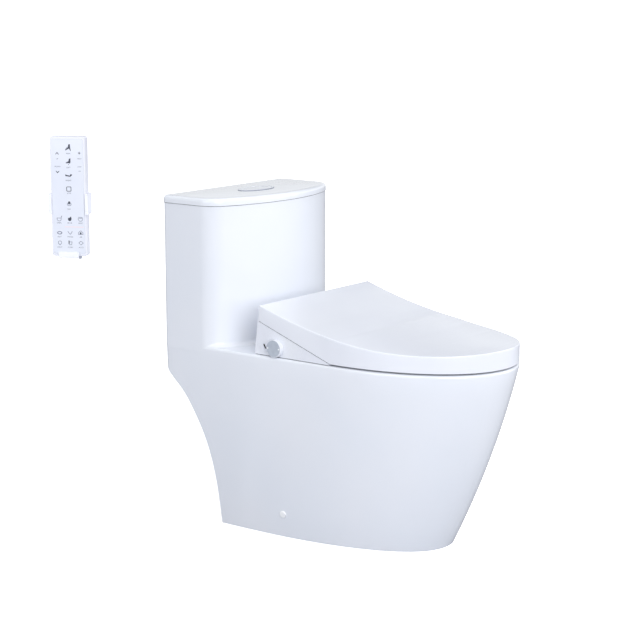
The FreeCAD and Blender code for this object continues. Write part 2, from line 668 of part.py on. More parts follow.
def make_tank_lid():
    low_z = TANK_TOP_Z + TANK_LID_GAP
    top_z = low_z + TANK_LID_H
    slab = prism_z(tank_wire(TANK_LID_OVERHANG), low_z, top_z)
    slab = slab.makeFillet(TANK_LID_EDGE_R, [e for e in slab.Edges if e.BoundBox.ZMin > top_z - 0.01])
    plate_h = 9.0
    pocket = prism_z(tank_wire(-TANK_WALL - 2), low_z - 1, top_z - plate_h)
    lip_out = prism_z(tank_wire(-TANK_WALL - 2), low_z - TANK_LIP_H, low_z + 1)
    lip_in = prism_z(tank_wire(-TANK_WALL - 8), low_z - TANK_LIP_H - 1, top_z - plate_h)
    hole = ellipse_prism(BUTTON_X, BUTTON_Y, BUTTON_A + 3.2, BUTTON_B + 3.2, low_z - 5, top_z + 5)
    lid = slab.fuse(lip_out).cut(lip_in).cut(hole)
    save("tank_lid", lid)
    return top_z, top_z - plate_h


def make_buttons(top_z, under_z):
    a, b = BUTTON_A, BUTTON_B
    x, y = BUTTON_X, BUTTON_Y
    proud = 1.6
    sleeve_low = under_z - 14
    ring_body = ellipse_prism(x, y, a + BEZEL_RING + 2, b + BEZEL_RING + 2, top_z + 0.1, top_z + proud)
    rims = [e for e in ring_body.Edges if e.BoundBox.ZMin > top_z + proud - 0.01]
    ring_body = ring_body.makeFillet(1.0, rims)
    sleeve = ellipse_prism(x, y, a + 2.9, b + 2.9, sleeve_low, top_z + 0.5)
    well = ellipse_prism(x, y, a + 0.8, b + 0.8, sleeve_low + 2, top_z + 5)
    rods = button_rod_places()
    bores = [cyl(ROD_R + NEAR, (rx, ry, sleeve_low - 1), (0, 0, 1), 5) for rx, ry in rods]
    save("button_bezel", cut(fuse(ring_body, sleeve), well, *bores))
    nut = ellipse_prism(x, y, a + 9, b + 9, under_z - NEAR - 4, under_z - NEAR)
    save("bezel_nut", nut.cut(ellipse_prism(x, y, a + 3, b + 3, under_z - 6, under_z + 1)))
    crown = ellipse_prism(x, y, a, b, top_z - 9, top_z + proud - 0.2)
    crown = crown.makeFillet(0.8, [e for e in crown.Edges if e.BoundBox.ZMin > top_z + proud - 0.21])
    split = BUTTON_SPLIT_X
    sides = {"half_flush_button": (box(x - a - 5, split - 0.3, y - 50, y + 50, 0, 900), rods[0]),
             "full_flush_button": (box(split + 0.3, x + a + 5, y - 50, y + 50, 0, 900), rods[1])}
    for name, (keep, (rx, ry)) in sides.items():
        rod_low = GUIDE_PLATE_Z - 12
        rod = cyl(ROD_R, (rx, ry, rod_low), (0, 0, 1), top_z - 8 - rod_low)
        save(name, fuse(crown.common(keep), rod))


# ---------------------------------------------------------------- shared lines of lid, seat and unit
SEAM_TAN = (SEAM_TOP_Z - LID_EDGE_Z) / (LID_BACK_Y - SEAM_FOOT_Y)
SEAM_COS = 1 / math.hypot(1, SEAM_TAN)


def seam_z(y, offset=0.0):
    """Height of the slanted seam at y; offset is square to it, up."""
    return LID_EDGE_Z + (y - SEAM_FOOT_Y) * SEAM_TAN + offset / SEAM_COS


def lid_top_z(y, drop=0.0):
    centre_z = LID_TOP_LOW_Z + LID_TOP_R
    return centre_z - math.sqrt((LID_TOP_R + drop) ** 2 - (y - LID_TOP_LOW_Y) ** 2)


def lid_block(skin):
    """The lid's outer form (skin 0), or the hollow under it."""
    ahead = LID_TIP_Y - 10
    back_top = LID_BACK_Y - LID_LEAN - skin
    if skin:
        corners = [V(0, ahead, LID_EDGE_Z - 20), V(0, LID_BACK_Y - skin, LID_EDGE_Z - 20),
                   V(0, LID_BACK_Y - skin, SEAM_TOP_Z)]
    else:
        corners = [V(0, ahead, LID_EDGE_Z), V(0, SEAM_FOOT_Y, LID_EDGE_Z), V(0, LID_BACK_Y, SEAM_TOP_Z)]
    corners.append(V(0, back_top, lid_top_z(back_top, skin)))
    middle = (ahead + back_top) / 2
    front = V(0, ahead, lid_top_z(ahead, skin))
    edges = polyline_edges(corners)
    edges.append(Part.Arc(corners[-1], V(0, middle, lid_top_z(middle, skin)), front).toShape())
    edges.append(Part.LineSegment(front, corners[0]).toShape())
    face = Part.Face(Part.Wire(edges))
    face.translate(V(-LID_HALF_W - 10, 0, 0))
    side_view = face.extrude(V(2 * LID_HALF_W + 20, 0, 0))
    plan = lid_plan(LID_HALF_W - skin, RIM_WIDE_Y, LID_TIP_Y + skin, LID_BACK_Y + 8)
    return prism_z(plan, LID_EDGE_Z - 25, SEAM_TOP_Z + 60).common(side_view)


def make_lid():
    outer = lid_block(0)
    hollow = lid_block(LID_SKIN)
    top = max(outer.Faces, key=lambda f: f.CenterOfMass.z if f.BoundBox.YLength > 300 and
              f.BoundBox.XLength > 300 else -1)
    outer = outer.makeFillet(LID_CREASE_R, top.Edges)
    x_wall = LID_HALF_W - LID_BACK_WALL_W
    slot = box(-x_wall, x_wall, HINGE_Y, LID_BACK_Y + 5, SEAM_TOP_Z - 20, HINGE_Z + BARREL_R)
    shell = outer.cut(hollow).cut(slot)
    ceiling = lid_top_z(HINGE_Y, LID_SKIN) + 1
    x0, x1 = LID_HUB_X
    hub = cyl(BARREL_R, (x0, HINGE_Y, HINGE_Z), (1, 0, 0), x1 - x0)
    web = box(x0, x1, HINGE_Y - BARREL_R, HINGE_Y + BARREL_R - 3, HINGE_Z, ceiling)
    bore = cyl(PIN_R + PIN_CLEARANCE, (x0 - 5, HINGE_Y, HINGE_Z), (1, 0, 0), x1 - x0 + 10)
    hub = hub.fuse(web)
    shell = fuse(shell, hub, mirrored(hub))
    save("seat_lid", cut(shell, bore, mirrored(bore)))
    pads = []
    for x, y in ((145, -250), (78, -396)):
        pad = cyl(7, (x, y, SEAT_BOTTOM_Z + SEAT_THICK + NEAR), (0, 0, 1), 40).common(hollow)
        pads += [pad, mirrored(pad)]
    save("lid_bumpers", Part.makeCompound(pads))


def seat_knee(height):
    """Where the seat's level line at this height above its underside starts to climb."""
    level = SEAT_BOTTOM_Z + height - LID_EDGE_Z
    return SEAM_FOOT_Y + (level - (SEAT_GAP + height) / SEAM_COS) / SEAM_TAN


def seat_block(inset, low, high, back_y):
    """A slice of the seat between two heights above its underside, inset from its outline."""
    ahead = SEAT_TIP_Y - 10
    half_w = SEAT_HALF_W - inset

    def line(height):
        return [(ahead, SEAT_BOTTOM_Z + height), (seat_knee(height), SEAT_BOTTOM_Z + height),
                (back_y, seam_z(back_y, SEAT_GAP + height))]

    side_view = prism_x(line(low) + line(high)[::-1], -half_w - 5, half_w + 5)
    for height in (low, high):
        knee = [e for e in side_view.Edges if abs(e.BoundBox.YMin - seat_knee(height)) < 0.01
                and e.BoundBox.XLength > half_w]
        side_view = side_view.makeFillet(SEAT_BEND_R - height, knee)
    plan = lid_plan(half_w, RIM_WIDE_Y, SEAT_TIP_Y + inset, back_y + 5)
    block = prism_z(plan, SEAT_BOTTOM_Z - 20, HINGE_Z + 60).common(side_view)
    hole_half_w, hole_front, hole_back = SEAT_HOLE
    hole = prism_z(closed_oval(hole_half_w + inset, hole_front - inset, hole_back + inset, 2.2),
                   SEAT_BOTTOM_Z - 30, HINGE_Z + 70)
    inner_x = HUMP_HALF_W + SEAT_SIDE_GAP + inset
    outer_x = (SEAT_HUB_X[1] + LID_HUB_X[0]) / 2 - inset
    middle = box(-inner_x, inner_x, SEAT_BAR_BACK_Y - inset, 100, 300, 600)
    past_hub = box(outer_x, 300, HINGE_Y - BARREL_R - 12, 100, 300, 600)
    return cut(block, hole, middle, past_hub, mirrored(past_hub))


def make_seat():
    blank = seat_block(0, 0, SEAT_THICK, HINGE_Y)
    blank = blank.makeFillet(SEAT_EDGE_R, seat_top_edges(blank))
    cavity = seat_block(SEAT_SKIN, -3, SEAT_THICK - SEAT_SKIN, -5)
    x0, x1 = SEAT_HUB_X
    hub = cyl(BARREL_R, (x0, HINGE_Y, HINGE_Z), (1, 0, 0), x1 - x0)
    bore = cyl(PIN_R + PIN_CLEARANCE, (x0 - 5, HINGE_Y, HINGE_Z), (1, 0, 0), x1 - x0 + 10)
    shell = fuse(blank.cut(cavity), hub, mirrored(hub))
    save("seat_upper_shell", cut(shell, bore, mirrored(bore)))
    save("seat_lower_shell", seat_block(SEAT_SKIN + NEAR, 0, 3, -5 - NEAR))
    film_top = SEAT_THICK - SEAT_SKIN - NEAR
    save("seat_heater", seat_block(SEAT_SKIN + 6, film_top - 1, film_top, -60))
    pads = []
    for x, y in ((150, -215), (70, -402)):
        pad = cyl(9, (x, y, DECK_Z + NEAR), (0, 0, 1), SEAT_BOTTOM_Z - DECK_Z - NEAR)
        pads += [pad, mirrored(pad)]
    save("seat_bumpers", Part.makeCompound(pads))


def seat_top_edges(blank):
    """The curved rims and straight flanks round the seat's upper side."""
    uppers = [f for f in blank.Faces if f.normalAt(*f.Surface.parameter(f.CenterOfMass)).z > 0.85]
    rims = []
    for edge in blank.Edges:
        owners = [f for f in uppers if any(e.isSame(edge) for e in f.Edges)]
        bb = edge.BoundBox
        flank = bb.XLength < 0.01 and abs(bb.XMin) > SEAT_HALF_W - 0.01
        if len(owners) == 1 and (flank or bb.XLength > 0.01 and bb.YLength > 0.01):
            rims.append(edge)
    return rims


# ---------------------------------------------------------------- bidet unit
def unit_wedge(skin, low_z):
    tip, back = CHEEK_TIP_Y, UNIT_BACK_FOOT_Y - skin
    top_y = UNIT_BACK_TOP_Y - skin
    outline = [(tip, low_z), (back, low_z), (top_y, seam_z(top_y, -SEAM_GAP - skin)),
               (tip, seam_z(tip, -SEAM_GAP - skin))]
    half_w = UNIT_HALF_W - skin
    notch_x = CHEEK_INNER_X + skin
    return prism_x(outline, -half_w, half_w).cut(
        box(-notch_x, notch_x, tip - 20, HUMP_FRONT_Y + skin, 300, 500))


def hump_ceiling(y, skin=0.0):
    rise = (HINGE_Z + BARREL_R - HUMP_FRONT_TOP_Z) / (HINGE_Y - HUMP_FRONT_Y)
    return HUMP_FRONT_TOP_Z + (y - HUMP_FRONT_Y) * rise - skin * math.hypot(1, rise)


def unit_hump(skin, low_z):
    front = HUMP_FRONT_Y + skin
    half_w = HUMP_HALF_W - skin
    wall_y = HINGE_Y + HUMP_WALL_BACK - skin
    back = min(HINGE_Y, wall_y)
    outline = [(front, low_z), (front, hump_ceiling(front, skin)), (back, hump_ceiling(back, skin)),
               (back, low_z)]
    block = prism_x(outline, -half_w, half_w)
    nose = [e for e in block.Edges if e.BoundBox.XLength > half_w and abs(e.BoundBox.YMin - front) < 0.01
            and e.BoundBox.ZMin > low_z + 1]
    block = block.makeFillet(HUMP_FRONT_R - skin, nose)
    barrel = cyl(BARREL_R - skin, (-half_w, HINGE_Y, HINGE_Z), (1, 0, 0), 2 * half_w)
    behind = box(-half_w, half_w, back - 1, wall_y, low_z, HINGE_Z)
    return fuse(block, barrel, behind)


def unit_snout(skin, low_z):
    """The low nose in the middle of the unit; its roof climbs with the seam."""
    front, back = SNOUT_FRONT_Y + skin, HUMP_FRONT_Y + skin + 1
    half_w = SNOUT_HALF_W - skin

    def roof(y):
        return SNOUT_TOP_Z + (y - SNOUT_FRONT_Y) * SEAM_TAN - skin / SEAM_COS

    return prism_x([(front, low_z), (front, roof(front)), (back, roof(back)), (back, low_z)], -half_w, half_w)


def release_prism(grow, x0, x1):
    y, z, w, h, lean = RELEASE_Y, RELEASE_Z, RELEASE_W / 2 + grow, RELEASE_H / 2 + grow, RELEASE_LEAN
    return prism_x([(y - w + lean, z + h), (y + w + lean, z + h), (y + w - lean, z - h),
                    (y - w - lean, z - h)], x0, x1)


def unit_cover():
    outer = fuse(*[form(0, UNIT_BOTTOM_Z) for form in (unit_wedge, unit_hump, unit_snout)])
    inner = fuse(*[form(UNIT_SKIN, UNIT_BOTTOM_Z - 10) for form in (unit_wedge, unit_hump, unit_snout)])
    inner_x = HUMP_HALF_W - UNIT_SKIN - 1
    pin_hole = cyl(PIN_R + 0.1, (inner_x, HINGE_Y, HINGE_Z), (1, 0, 0), 10)
    stem_hole = cyl(KNOB_STEM_R + 0.5, (-UNIT_HALF_W - 1, KNOB_Y, KNOB_Z), (1, 0, 0), 8)
    port_y = UNIT_BACK_TOP_Y - 12
    ports = [cyl(7.5, (x, port_y, PORT_Z), (0, 1, 0), 30) for x in (INLET_X, GLAND_X)]
    mouth = box(WAND_X - 9, WAND_X + 9, SNOUT_FRONT_Y - 2, SNOUT_FRONT_Y + 8, UNIT_BOTTOM_Z - 1,
                SNOUT_TOP_Z - UNIT_SKIN)
    flap_y, flap_z = FLAP_AXIS
    air = box(DRYER_X - DRYER_HALF_W, DRYER_X + DRYER_HALF_W, SNOUT_FRONT_Y - 2, SNOUT_FRONT_Y + 8,
              UNIT_BOTTOM_Z - 1, flap_z + 1.5)
    pin_slots = cyl(FLAP_PIN_R + 0.05, (DRYER_X - DRYER_HALF_W - 2, flap_y, flap_z), (1, 0, 0),
                    2 * DRYER_HALF_W + 4)
    return cut(outer, inner, pin_hole, mirrored(pin_hole), stem_hole, mouth, air, pin_slots,
               release_prism(NEAR, -UNIT_HALF_W - 2, -UNIT_HALF_W + UNIT_SKIN + 2), *ports)


def lower_case():
    z0, z1 = CASE_Z
    back = UNIT_BACK_FOOT_Y - UNIT_SKIN - 2.2
    front = HUMP_FRONT_Y + UNIT_SKIN + 0.5
    side = UNIT_HALF_W - UNIT_SKIN - 0.5
    plate = box(-side, side, front, back, z0, z1)
    tongue_x = SNOUT_HALF_W - UNIT_SKIN - 0.5
    tongue = box(-tongue_x, tongue_x, SNOUT_FRONT_Y + UNIT_SKIN + 0.5, front + 1, z0, z1)
    posts = []
    for x, y, top in ((HUMP_HALF_W + 5, 24, seam_z(20, -SEAM_GAP - UNIT_SKIN)),
                      (HUMP_HALF_W - 9, -54, hump_ceiling(-57, UNIT_SKIN) - 2)):
        post = cyl(3.5, (x, y, z1 - 1), (0, 0, 1), top - NEAR - z1 + 1)
        posts += [post, mirrored(post)]
    skin_in = -UNIT_HALF_W + UNIT_SKIN
    guide_x = skin_in + RELEASE_FLANGE + RELEASE_TRAVEL + NEAR
    guide = release_prism(3, guide_x, guide_x + 8)
    foot = box(guide_x + 1, guide_x + 8, RELEASE_Y - 8, RELEASE_Y + 3, z1 - 1, RELEASE_Z)
    guide = fuse(guide, foot).cut(release_prism(NEAR, skin_in, guide_x + 6))
    case = fuse(plate, tongue, guide, *posts)
    heads = [cyl(SEAT_BOLT_HOLE_R + 2, (s * SEAT_BOLT_X, seat_bolt_y(), z0 - 1), (0, 0, 1), 6) for s in (-1, 1)]
    wand_slot = box(WAND_X - 9, WAND_X + 9, SNOUT_FRONT_Y, SNOUT_FRONT_Y + 20, z0 - 1, z1 + 1)
    flap_slot = box(DRYER_X - DRYER_HALF_W, DRYER_X + DRYER_HALF_W, SNOUT_FRONT_Y, SNOUT_FRONT_Y + 6,
                    z0 - 1, z1 + 1)
    return cut(case, wand_slot, flap_slot, *heads)


def make_unit_mounting():
    y = seat_bolt_y()
    plate_top = DECK_Z + BASE_PLATE_H
    half_w = SEAT_BOLT_X + 16
    plate = box(-half_w, half_w, y - 21, y + 14, DECK_Z, plate_top)
    plate = plate.makeFillet(6, [e for e in plate.Edges if e.BoundBox.ZLength > 1])
    bolt_x = SEAT_BOLT_X
    hole = cyl(SEAT_BOLT_R + 0.1, (bolt_x, y, DECK_Z - 1), (0, 0, 1), 10)
    save("base_plate", cut(plate, hole, mirrored(hole)))
    under = DECK_Z - CHINA_WALL
    low_z = under - 30
    bolt = fuse(cyl(SEAT_BOLT_R, (bolt_x, y, low_z), (0, 0, 1), plate_top - low_z + 1),
                cyl(SEAT_BOLT_R + 3, (bolt_x, y, plate_top), (0, 0, 1), 4))
    save("seat_bolts", both_sides(bolt))
    cone_z = under - 14
    cone = Part.makeCone(13, SEAT_BOLT_HOLE_R + 1, under - NEAR - cone_z, V(bolt_x, y, cone_z), V(0, 0, 1))
    sleeve = cyl(SEAT_BOLT_HOLE_R - 0.2, (bolt_x, y, under - 2), (0, 0, 1), CHINA_WALL)
    bushing = fuse(cone, sleeve).cut(cyl(SEAT_BOLT_R + 0.1, (bolt_x, y, cone_z - 1), (0, 0, 1), 40))
    save("bolt_bushings", both_sides(bushing))
    nut = hex_nut(8.5, SEAT_BOLT_R + 0.1, (bolt_x, y, cone_z - 7.1), 7)
    save("bolt_nuts", both_sides(nut))


def make_filter_and_release():
    bore_x = -UNIT_HALF_W + UNIT_SKIN + 0.4
    body = cyl(12, (bore_x, KNOB_Y, KNOB_Z), (1, 0, 0), 44)
    foot = box(bore_x + 8, bore_x + 32, KNOB_Y - 7, KNOB_Y + 7, CASE_Z[1] + NEAR, KNOB_Z)
    stem_len = 20.0
    bore = cyl(KNOB_STEM_R + PIN_CLEARANCE, (bore_x - 1, KNOB_Y, KNOB_Z), (1, 0, 0), stem_len + 2)
    save("water_filter", fuse(body, foot).cut(bore))
    inner_face = KNOB_FACE_X + KNOB_DEPTH
    knob = cyl(KNOB_R, (KNOB_FACE_X, KNOB_Y, KNOB_Z), (1, 0, 0), KNOB_DEPTH)
    knob = knob.makeFillet(1.2, [e for e in knob.Edges if e.BoundBox.XMax < KNOB_FACE_X + 0.01])
    knob = knob.cut(cyl(KNOB_R - 1.6, (KNOB_FACE_X - 1, KNOB_Y, KNOB_Z), (1, 0, 0), 2.2))
    stem = cyl(KNOB_STEM_R, (inner_face - 2, KNOB_Y, KNOB_Z), (1, 0, 0), stem_len + 2)
    save("filter_knob", fuse(knob, stem))
    face = cyl(KNOB_R - 1.7, (KNOB_FACE_X - 0.2, KNOB_Y, KNOB_Z), (1, 0, 0), 1.4)
    dots = [cyl(1.1, (KNOB_FACE_X - 1, KNOB_Y + s * (KNOB_R - 4.5), KNOB_Z), (1, 0, 0), 1.3) for s in (-1, 1)]
    save("knob_face", cut(face, *dots))
    skin_in = -UNIT_HALF_W + UNIT_SKIN
    button = fuse(release_prism(0, -UNIT_HALF_W + 0.5, skin_in + RELEASE_FLANGE + RELEASE_TRAVEL + 2),
                  release_prism(1.5, skin_in + NEAR, skin_in + RELEASE_FLANGE))
    save("release_button", button)


def make_water_works():
    floor = CASE_Z[1] + NEAR
    valve_x = -UNIT_HALF_W + 35
    valve = fuse(box(valve_x - 12, valve_x + 12, 12, 34, floor, floor + 22),
                 cyl(8, (valve_x, 23, floor + 20), (0, 0, 1), 16))
    save("solenoid_valve", valve)
    heater = box(-111, -36, -48, 16, floor, floor + 28)
    heater = heater.makeFillet(6, [e for e in heater.Edges if e.BoundBox.ZLength > 20])
    nozzles = [cyl(4, (x, 15, floor + 18), (0, 1, 0), 6) for x in (-86, -48)]
    save("water_heater", fuse(heater, *nozzles))
    pump = fuse(cyl(10, (-72, 22, floor + 17), (0, 1, 0), 20), box(-80, -64, 22, 24, floor, floor + 12))
    save("water_pump", pump)
    y0 = UNIT_BACK_TOP_Y - 8
    inlet = fuse(cyl(7, (INLET_X, y0, PORT_Z), (0, 1, 0), UNIT_BACK_FOOT_Y - y0 + 1),
                 cyl(INLET_THREAD_R, (INLET_X, UNIT_BACK_FOOT_Y + 0.4, PORT_Z), (0, 1, 0), INLET_LENGTH))
    save("water_inlet", inlet.cut(cyl(5, (INLET_X, y0 - 1, PORT_Z), (0, 1, 0), 60)))
    gland = fuse(cyl(7, (GLAND_X, y0, PORT_Z), (0, 1, 0), UNIT_BACK_FOOT_Y - y0 + 1),
                 cyl(9, (GLAND_X, UNIT_BACK_FOOT_Y + 0.4, PORT_Z), (0, 1, 0), 3))
    save("power_gland", gland.cut(cyl(3.6, (GLAND_X, y0 - 1, PORT_Z), (0, 1, 0), 60)))


def make_control_board():
    floor = CASE_Z[1] + NEAR
    board_z = floor + 4
    x1 = UNIT_HALF_W - UNIT_SKIN - 4
    x0 = x1 - BOARD_W
    pieces = [box(x0, x1, -45, 40, board_z, board_z + 1.6),
              box(x0 + 8, x0 + 28, -30, -8, board_z + 1, board_z + 9),
              box(x0 + 10, x1 - 8, 8, 30, board_z + 1, board_z + 14),
              cyl(6, (x0 + 18, 0, board_z + 1), (0, 0, 1), 14)]
    pieces += [cyl(3, (x, y, floor), (0, 0, 1), 4.5) for x in (x0 + 4, x1 - 4) for y in (-41, 36)]
    save("control_board", fuse(*pieces))


# ---------------------------------------------------------------- wash wand
def wand_place(shape):
    """Carry a piece made along +Y, tip at the origin, to the wand's slanted line."""
    shape = shape.copy()
    shape.rotate(V(0, 0, 0), V(1, 0, 0), WAND_SLOPE)
    shape.translate(V(WAND_X, WAND_TIP_Y, WAND_TIP_Z))
    return shape


def make_wand():
    tip_length = 24.0
    tip = cyl(WAND_R, (0, 0, 0), (0, 1, 0), tip_length)
    tip = tip.makeFillet(2.5, [e for e in tip.Edges if e.BoundBox.YMax < 0.01])
    jets = [cyl(0.8, (x, y, WAND_R - 2), (0, 0, 1), 4) for x, y in ((0, 7), (-2.2, 11), (2.2, 11), (0, 15))]
    save("wand_tip", wand_place(cut(tip, *jets)))
    tube = cyl(WAND_R - 0.4, (0, tip_length, 0), (0, 1, 0), WAND_LENGTH - tip_length)
    save("wash_wand", wand_place(tube))
    guide = box(-9, 9, 12, 112, -10, -1).cut(cyl(WAND_R + NEAR, (0, 0, 0), (0, 1, 0), 130))
    slope = math.tan(math.radians(WAND_SLOPE))
    floor = CASE_Z[1] + NEAR

    def under(y):
        return WAND_TIP_Z + (y - WAND_TIP_Y) * slope - 8.5

    rib = prism_x([(-55, floor), (12, floor), (12, under(12)), (-55, under(-55))], WAND_X - 3, WAND_X + 3)
    save("wand_guide", fuse(wand_place(guide), rib))
    motor_x = WAND_X + 9 + NEAR
    motor = fuse(cyl(11, (motor_x, 6, 428), (1, 0, 0), 18), box(motor_x + 2, motor_x + 14, 0, 12, floor, 420))
    save("wand_motor", motor)


# ---------------------------------------------------------------- warm-air dryer
def make_dryer():
    z0, z1 = BLOWER_Z
    up = (0, 0, 1)
    drum = cyl(BLOWER_R, (FAN_X, FAN_Y, z0), up, z1 - z0)
    drum_in = cyl(BLOWER_R - 2, (FAN_X, FAN_Y, z0 + 2), up, z1 - z0 - 4)
    duct_x = DRYER_HALF_W - 2
    duct = box(DRYER_X - duct_x, DRYER_X + duct_x, SNOUT_FRONT_Y + 3, FAN_Y, z0, z0 + 11)
    duct_in = box(DRYER_X - duct_x + 1.5, DRYER_X + duct_x - 1.5, SNOUT_FRONT_Y + 2, FAN_Y - 1.5, z0 + 1.5,
                  z0 + 9.5)
    bridge = box(DRYER_X, FAN_X - BLOWER_R + 8, FAN_Y - 14, FAN_Y, z0, z0 + 11)
    bridge_in = box(DRYER_X, FAN_X - BLOWER_R + 9, FAN_Y - 12.5, FAN_Y - 1.5, z0 + 1.5, z0 + 9.5)
    shaft_r = 2.0
    bearing = cyl(shaft_r + PIN_CLEARANCE, (FAN_X, FAN_Y, z0 - 1), up, z1 - z0 + 2)
    case = cut(fuse(drum, duct, bridge), drum_in, duct_in, bridge_in, bearing)
    save("blower_case", case)
    fan = [cyl(FAN_R, (FAN_X, FAN_Y, z0 + 3), up, 1.6), cyl(6, (FAN_X, FAN_Y, z0 + 3), up, z1 - z0 - 7),
           cyl(shaft_r, (FAN_X, FAN_Y, z0 + 0.2), up, z1 - z0 + 6)]
    for k in range(10):
        blade = box(5, FAN_R, -0.7, 0.7, z0 + 4, z1 - 4.5)
        blade.rotate(V(0, 0, 0), V(0, 0, 1), 36 * k)
        blade.translate(V(FAN_X, FAN_Y, 0))
        fan.append(blade)
    save("blower_fan", fuse(*fan))
    motor = cyl(13, (FAN_X, FAN_Y, z1 + 0.2), up, 18)
    save("fan_motor", motor.cut(cyl(shaft_r + PIN_CLEARANCE, (FAN_X, FAN_Y, z1 - 1), up, 9)))
    y, z = FLAP_AXIS
    half = DRYER_HALF_W
    leaf = box(DRYER_X - half + 0.5, DRYER_X + half - 0.5, y - 0.8, y + 0.6, UNIT_BOTTOM_Z + 1.5, z)
    pin = cyl(FLAP_PIN_R, (DRYER_X - half - 1.6, y, z), (1, 0, 0), 2 * half + 3.2)
    save("dryer_flap", fuse(leaf, pin))


# ---------------------------------------------------------------- hinge dampers and lift motors
def make_hinge_drives():
    inner = HUMP_HALF_W - UNIT_SKIN
    body = cyl(BARREL_R - UNIT_SKIN - 0.1, (inner - 64, HINGE_Y, HINGE_Z), (1, 0, 0), 63.5)
    pin = cyl(PIN_R, (inner - 2, HINGE_Y, HINGE_Z), (1, 0, 0), LID_HUB_X[1] - inner + 2)
    damper = fuse(body, pin)
    save("seat_damper", damper)
    save("lid_damper", mirrored(damper))
    floor = CASE_Z[1] + NEAR
    x1 = inner - 6
    motor = box(x1 - 33, x1, 4, 30, 426, 452)
    motor = motor.makeFillet(4, [e for e in motor.Edges if e.BoundBox.XLength > 30])
    leg = box(x1 - 23, x1 - 11, 20, 28, floor, 430)
    web = box(x1 - 21, x1 - 13, HINGE_Y - 8, HINGE_Y + HUMP_WALL_BACK - UNIT_SKIN - NEAR, 440,
              HINGE_Z - BARREL_R + UNIT_SKIN - 0.2)
    save("lift_motors", both_sides(fuse(motor, leg, web)))


# ---------------------------------------------------------------- remote control
def remote_place(shape):
    """Carry a piece made facing -Y about the origin to the remote's place."""
    shape = shape.copy()
    shape.rotate(V(0, 0, 0), V(0, 0, 1), REMOTE_TURN)
    shape.translate(V(*REMOTE_PLACE))
    return shape


def rounded_block(half_w, y0, y1, half_h, radius):
    block = box(-half_w, half_w, y0, y1, -half_h, half_h)
    return block.makeFillet(radius, [e for e in block.Edges if e.BoundBox.YLength > (y1 - y0) / 2])


def make_remote():
    half_w, half_h, half_d = REMOTE_W / 2, REMOTE_H / 2, REMOTE_D / 2
    skin = REMOTE_SKIN
    front = rounded_block(half_w, -half_d, 0, half_h, REMOTE_R)
    front = front.makeFillet(1.2, [e for e in front.Edges if e.BoundBox.YMax < -half_d + 0.01])
    front = front.cut(rounded_block(half_w - skin, -half_d + skin, 1, half_h - skin, REMOTE_R - skin))
    panel = rounded_block(half_w - 3, -half_d - 0.5, -half_d + 0.5, half_h - 4, 3)
    save("remote_front_case", remote_place(front.cut(panel)))
    film = rounded_block(half_w - 3.1, -half_d - 0.3, -half_d + 0.4, half_h - 4.1, 3)
    save("remote_key_film", remote_place(film))
    back = rounded_block(half_w, NEAR, half_d, half_h, REMOTE_R)
    back = back.makeFillet(1.5, [e for e in back.Edges if e.BoundBox.YMin > half_d - 0.01])
    back = back.cut(rounded_block(half_w - skin, -1, half_d - skin, half_h - skin, REMOTE_R - skin))
    door_z0, door_z1, door_w = 22.0, 92.0, 22.0
    track = box(-door_w - NEAR, door_w + NEAR, half_d - 1.4, half_d + 1, door_z0 - NEAR, half_h + 5)
    window = box(-door_w + 3, door_w - 3, half_d - 5, half_d + 1, door_z0 + 3, door_z1 - 5)
    save("remote_back_case", remote_place(cut(back, track, window)))
    door = box(-door_w, door_w, half_d - 1.2, half_d - 0.1, door_z0, half_h - 1.6)
    save("remote_battery_door", remote_place(door))
    cells = [cyl(7, (x, half_d - 1.4 - 7.2, door_z0 + 8), (0, 0, 1), 50) for x in (-8, 8)]
    save("remote_batteries", remote_place(Part.makeCompound(cells)))
    board = box(-half_w + 4, half_w - 4, -half_d + skin + NEAR, -half_d + skin + 1.5, -half_h + 6, half_h - 6)
    posts = [box(x - 2, x + 2, -half_d + skin + 1, -half_d + skin + 3, z - 2, z + 2)
             for x in (-20, 20) for z in (-80, 80)]
    save("remote_board", remote_place(fuse(board, *posts)))
    make_remote_holder(half_w, half_h, half_d)


def make_remote_holder(half_w, half_h, half_d):
    gap, t = HOLDER_GAP, CLIP_T
    back_y = half_d + gap
    plate = box(-half_w - gap - t, half_w + gap + t, back_y, back_y + 3, *CLIP_Z)
    spine = box(-HOLDER_SPINE_W / 2, HOLDER_SPINE_W / 2, back_y, back_y + 3, -half_h - gap - LEDGE_T,
                CLIP_Z[1])
    side = box(half_w + gap, half_w + gap + t, -half_d - 3, back_y + 3, *CLIP_Z)
    lip = box(half_w - 1.6, half_w + gap + t, -half_d - 3, -half_d - gap - 0.3, *CLIP_Z)
    clip = fuse(side, lip)
    clip = clip.makeFillet(0.9, [e for e in clip.Edges if e.BoundBox.ZLength > 30
                                 and e.BoundBox.YMax < -half_d - 2.9])
    low_z = -half_h - gap - LEDGE_T
    lip_y = -half_d - gap - NEAR
    ledge = box(*LEDGE_X, lip_y - LEDGE_T, back_y + 1, low_z, -half_h - gap)
    front_lip = box(*LEDGE_X, lip_y - LEDGE_T, lip_y, low_z, low_z + LEDGE_LIP_H)
    tray = ledge.fuse(front_lip).removeSplitter()
    tray = tray.makeFillet(1.2, [e for e in tray.Edges if e.BoundBox.YMax < lip_y - LEDGE_T + 0.01])
    holder = fuse(plate, spine, clip, mirrored(clip), tray)
    holes = []
    for s in (-1, 1):
        z = HOLDER_HOLE_Z + s * HOLDER_HOLE_PCD / 2
        holes.append(cyl(HOLDER_HOLE_R, (0, back_y - 1, z), (0, 1, 0), 6))
    save("remote_holder", remote_place(cut(holder, *holes)))


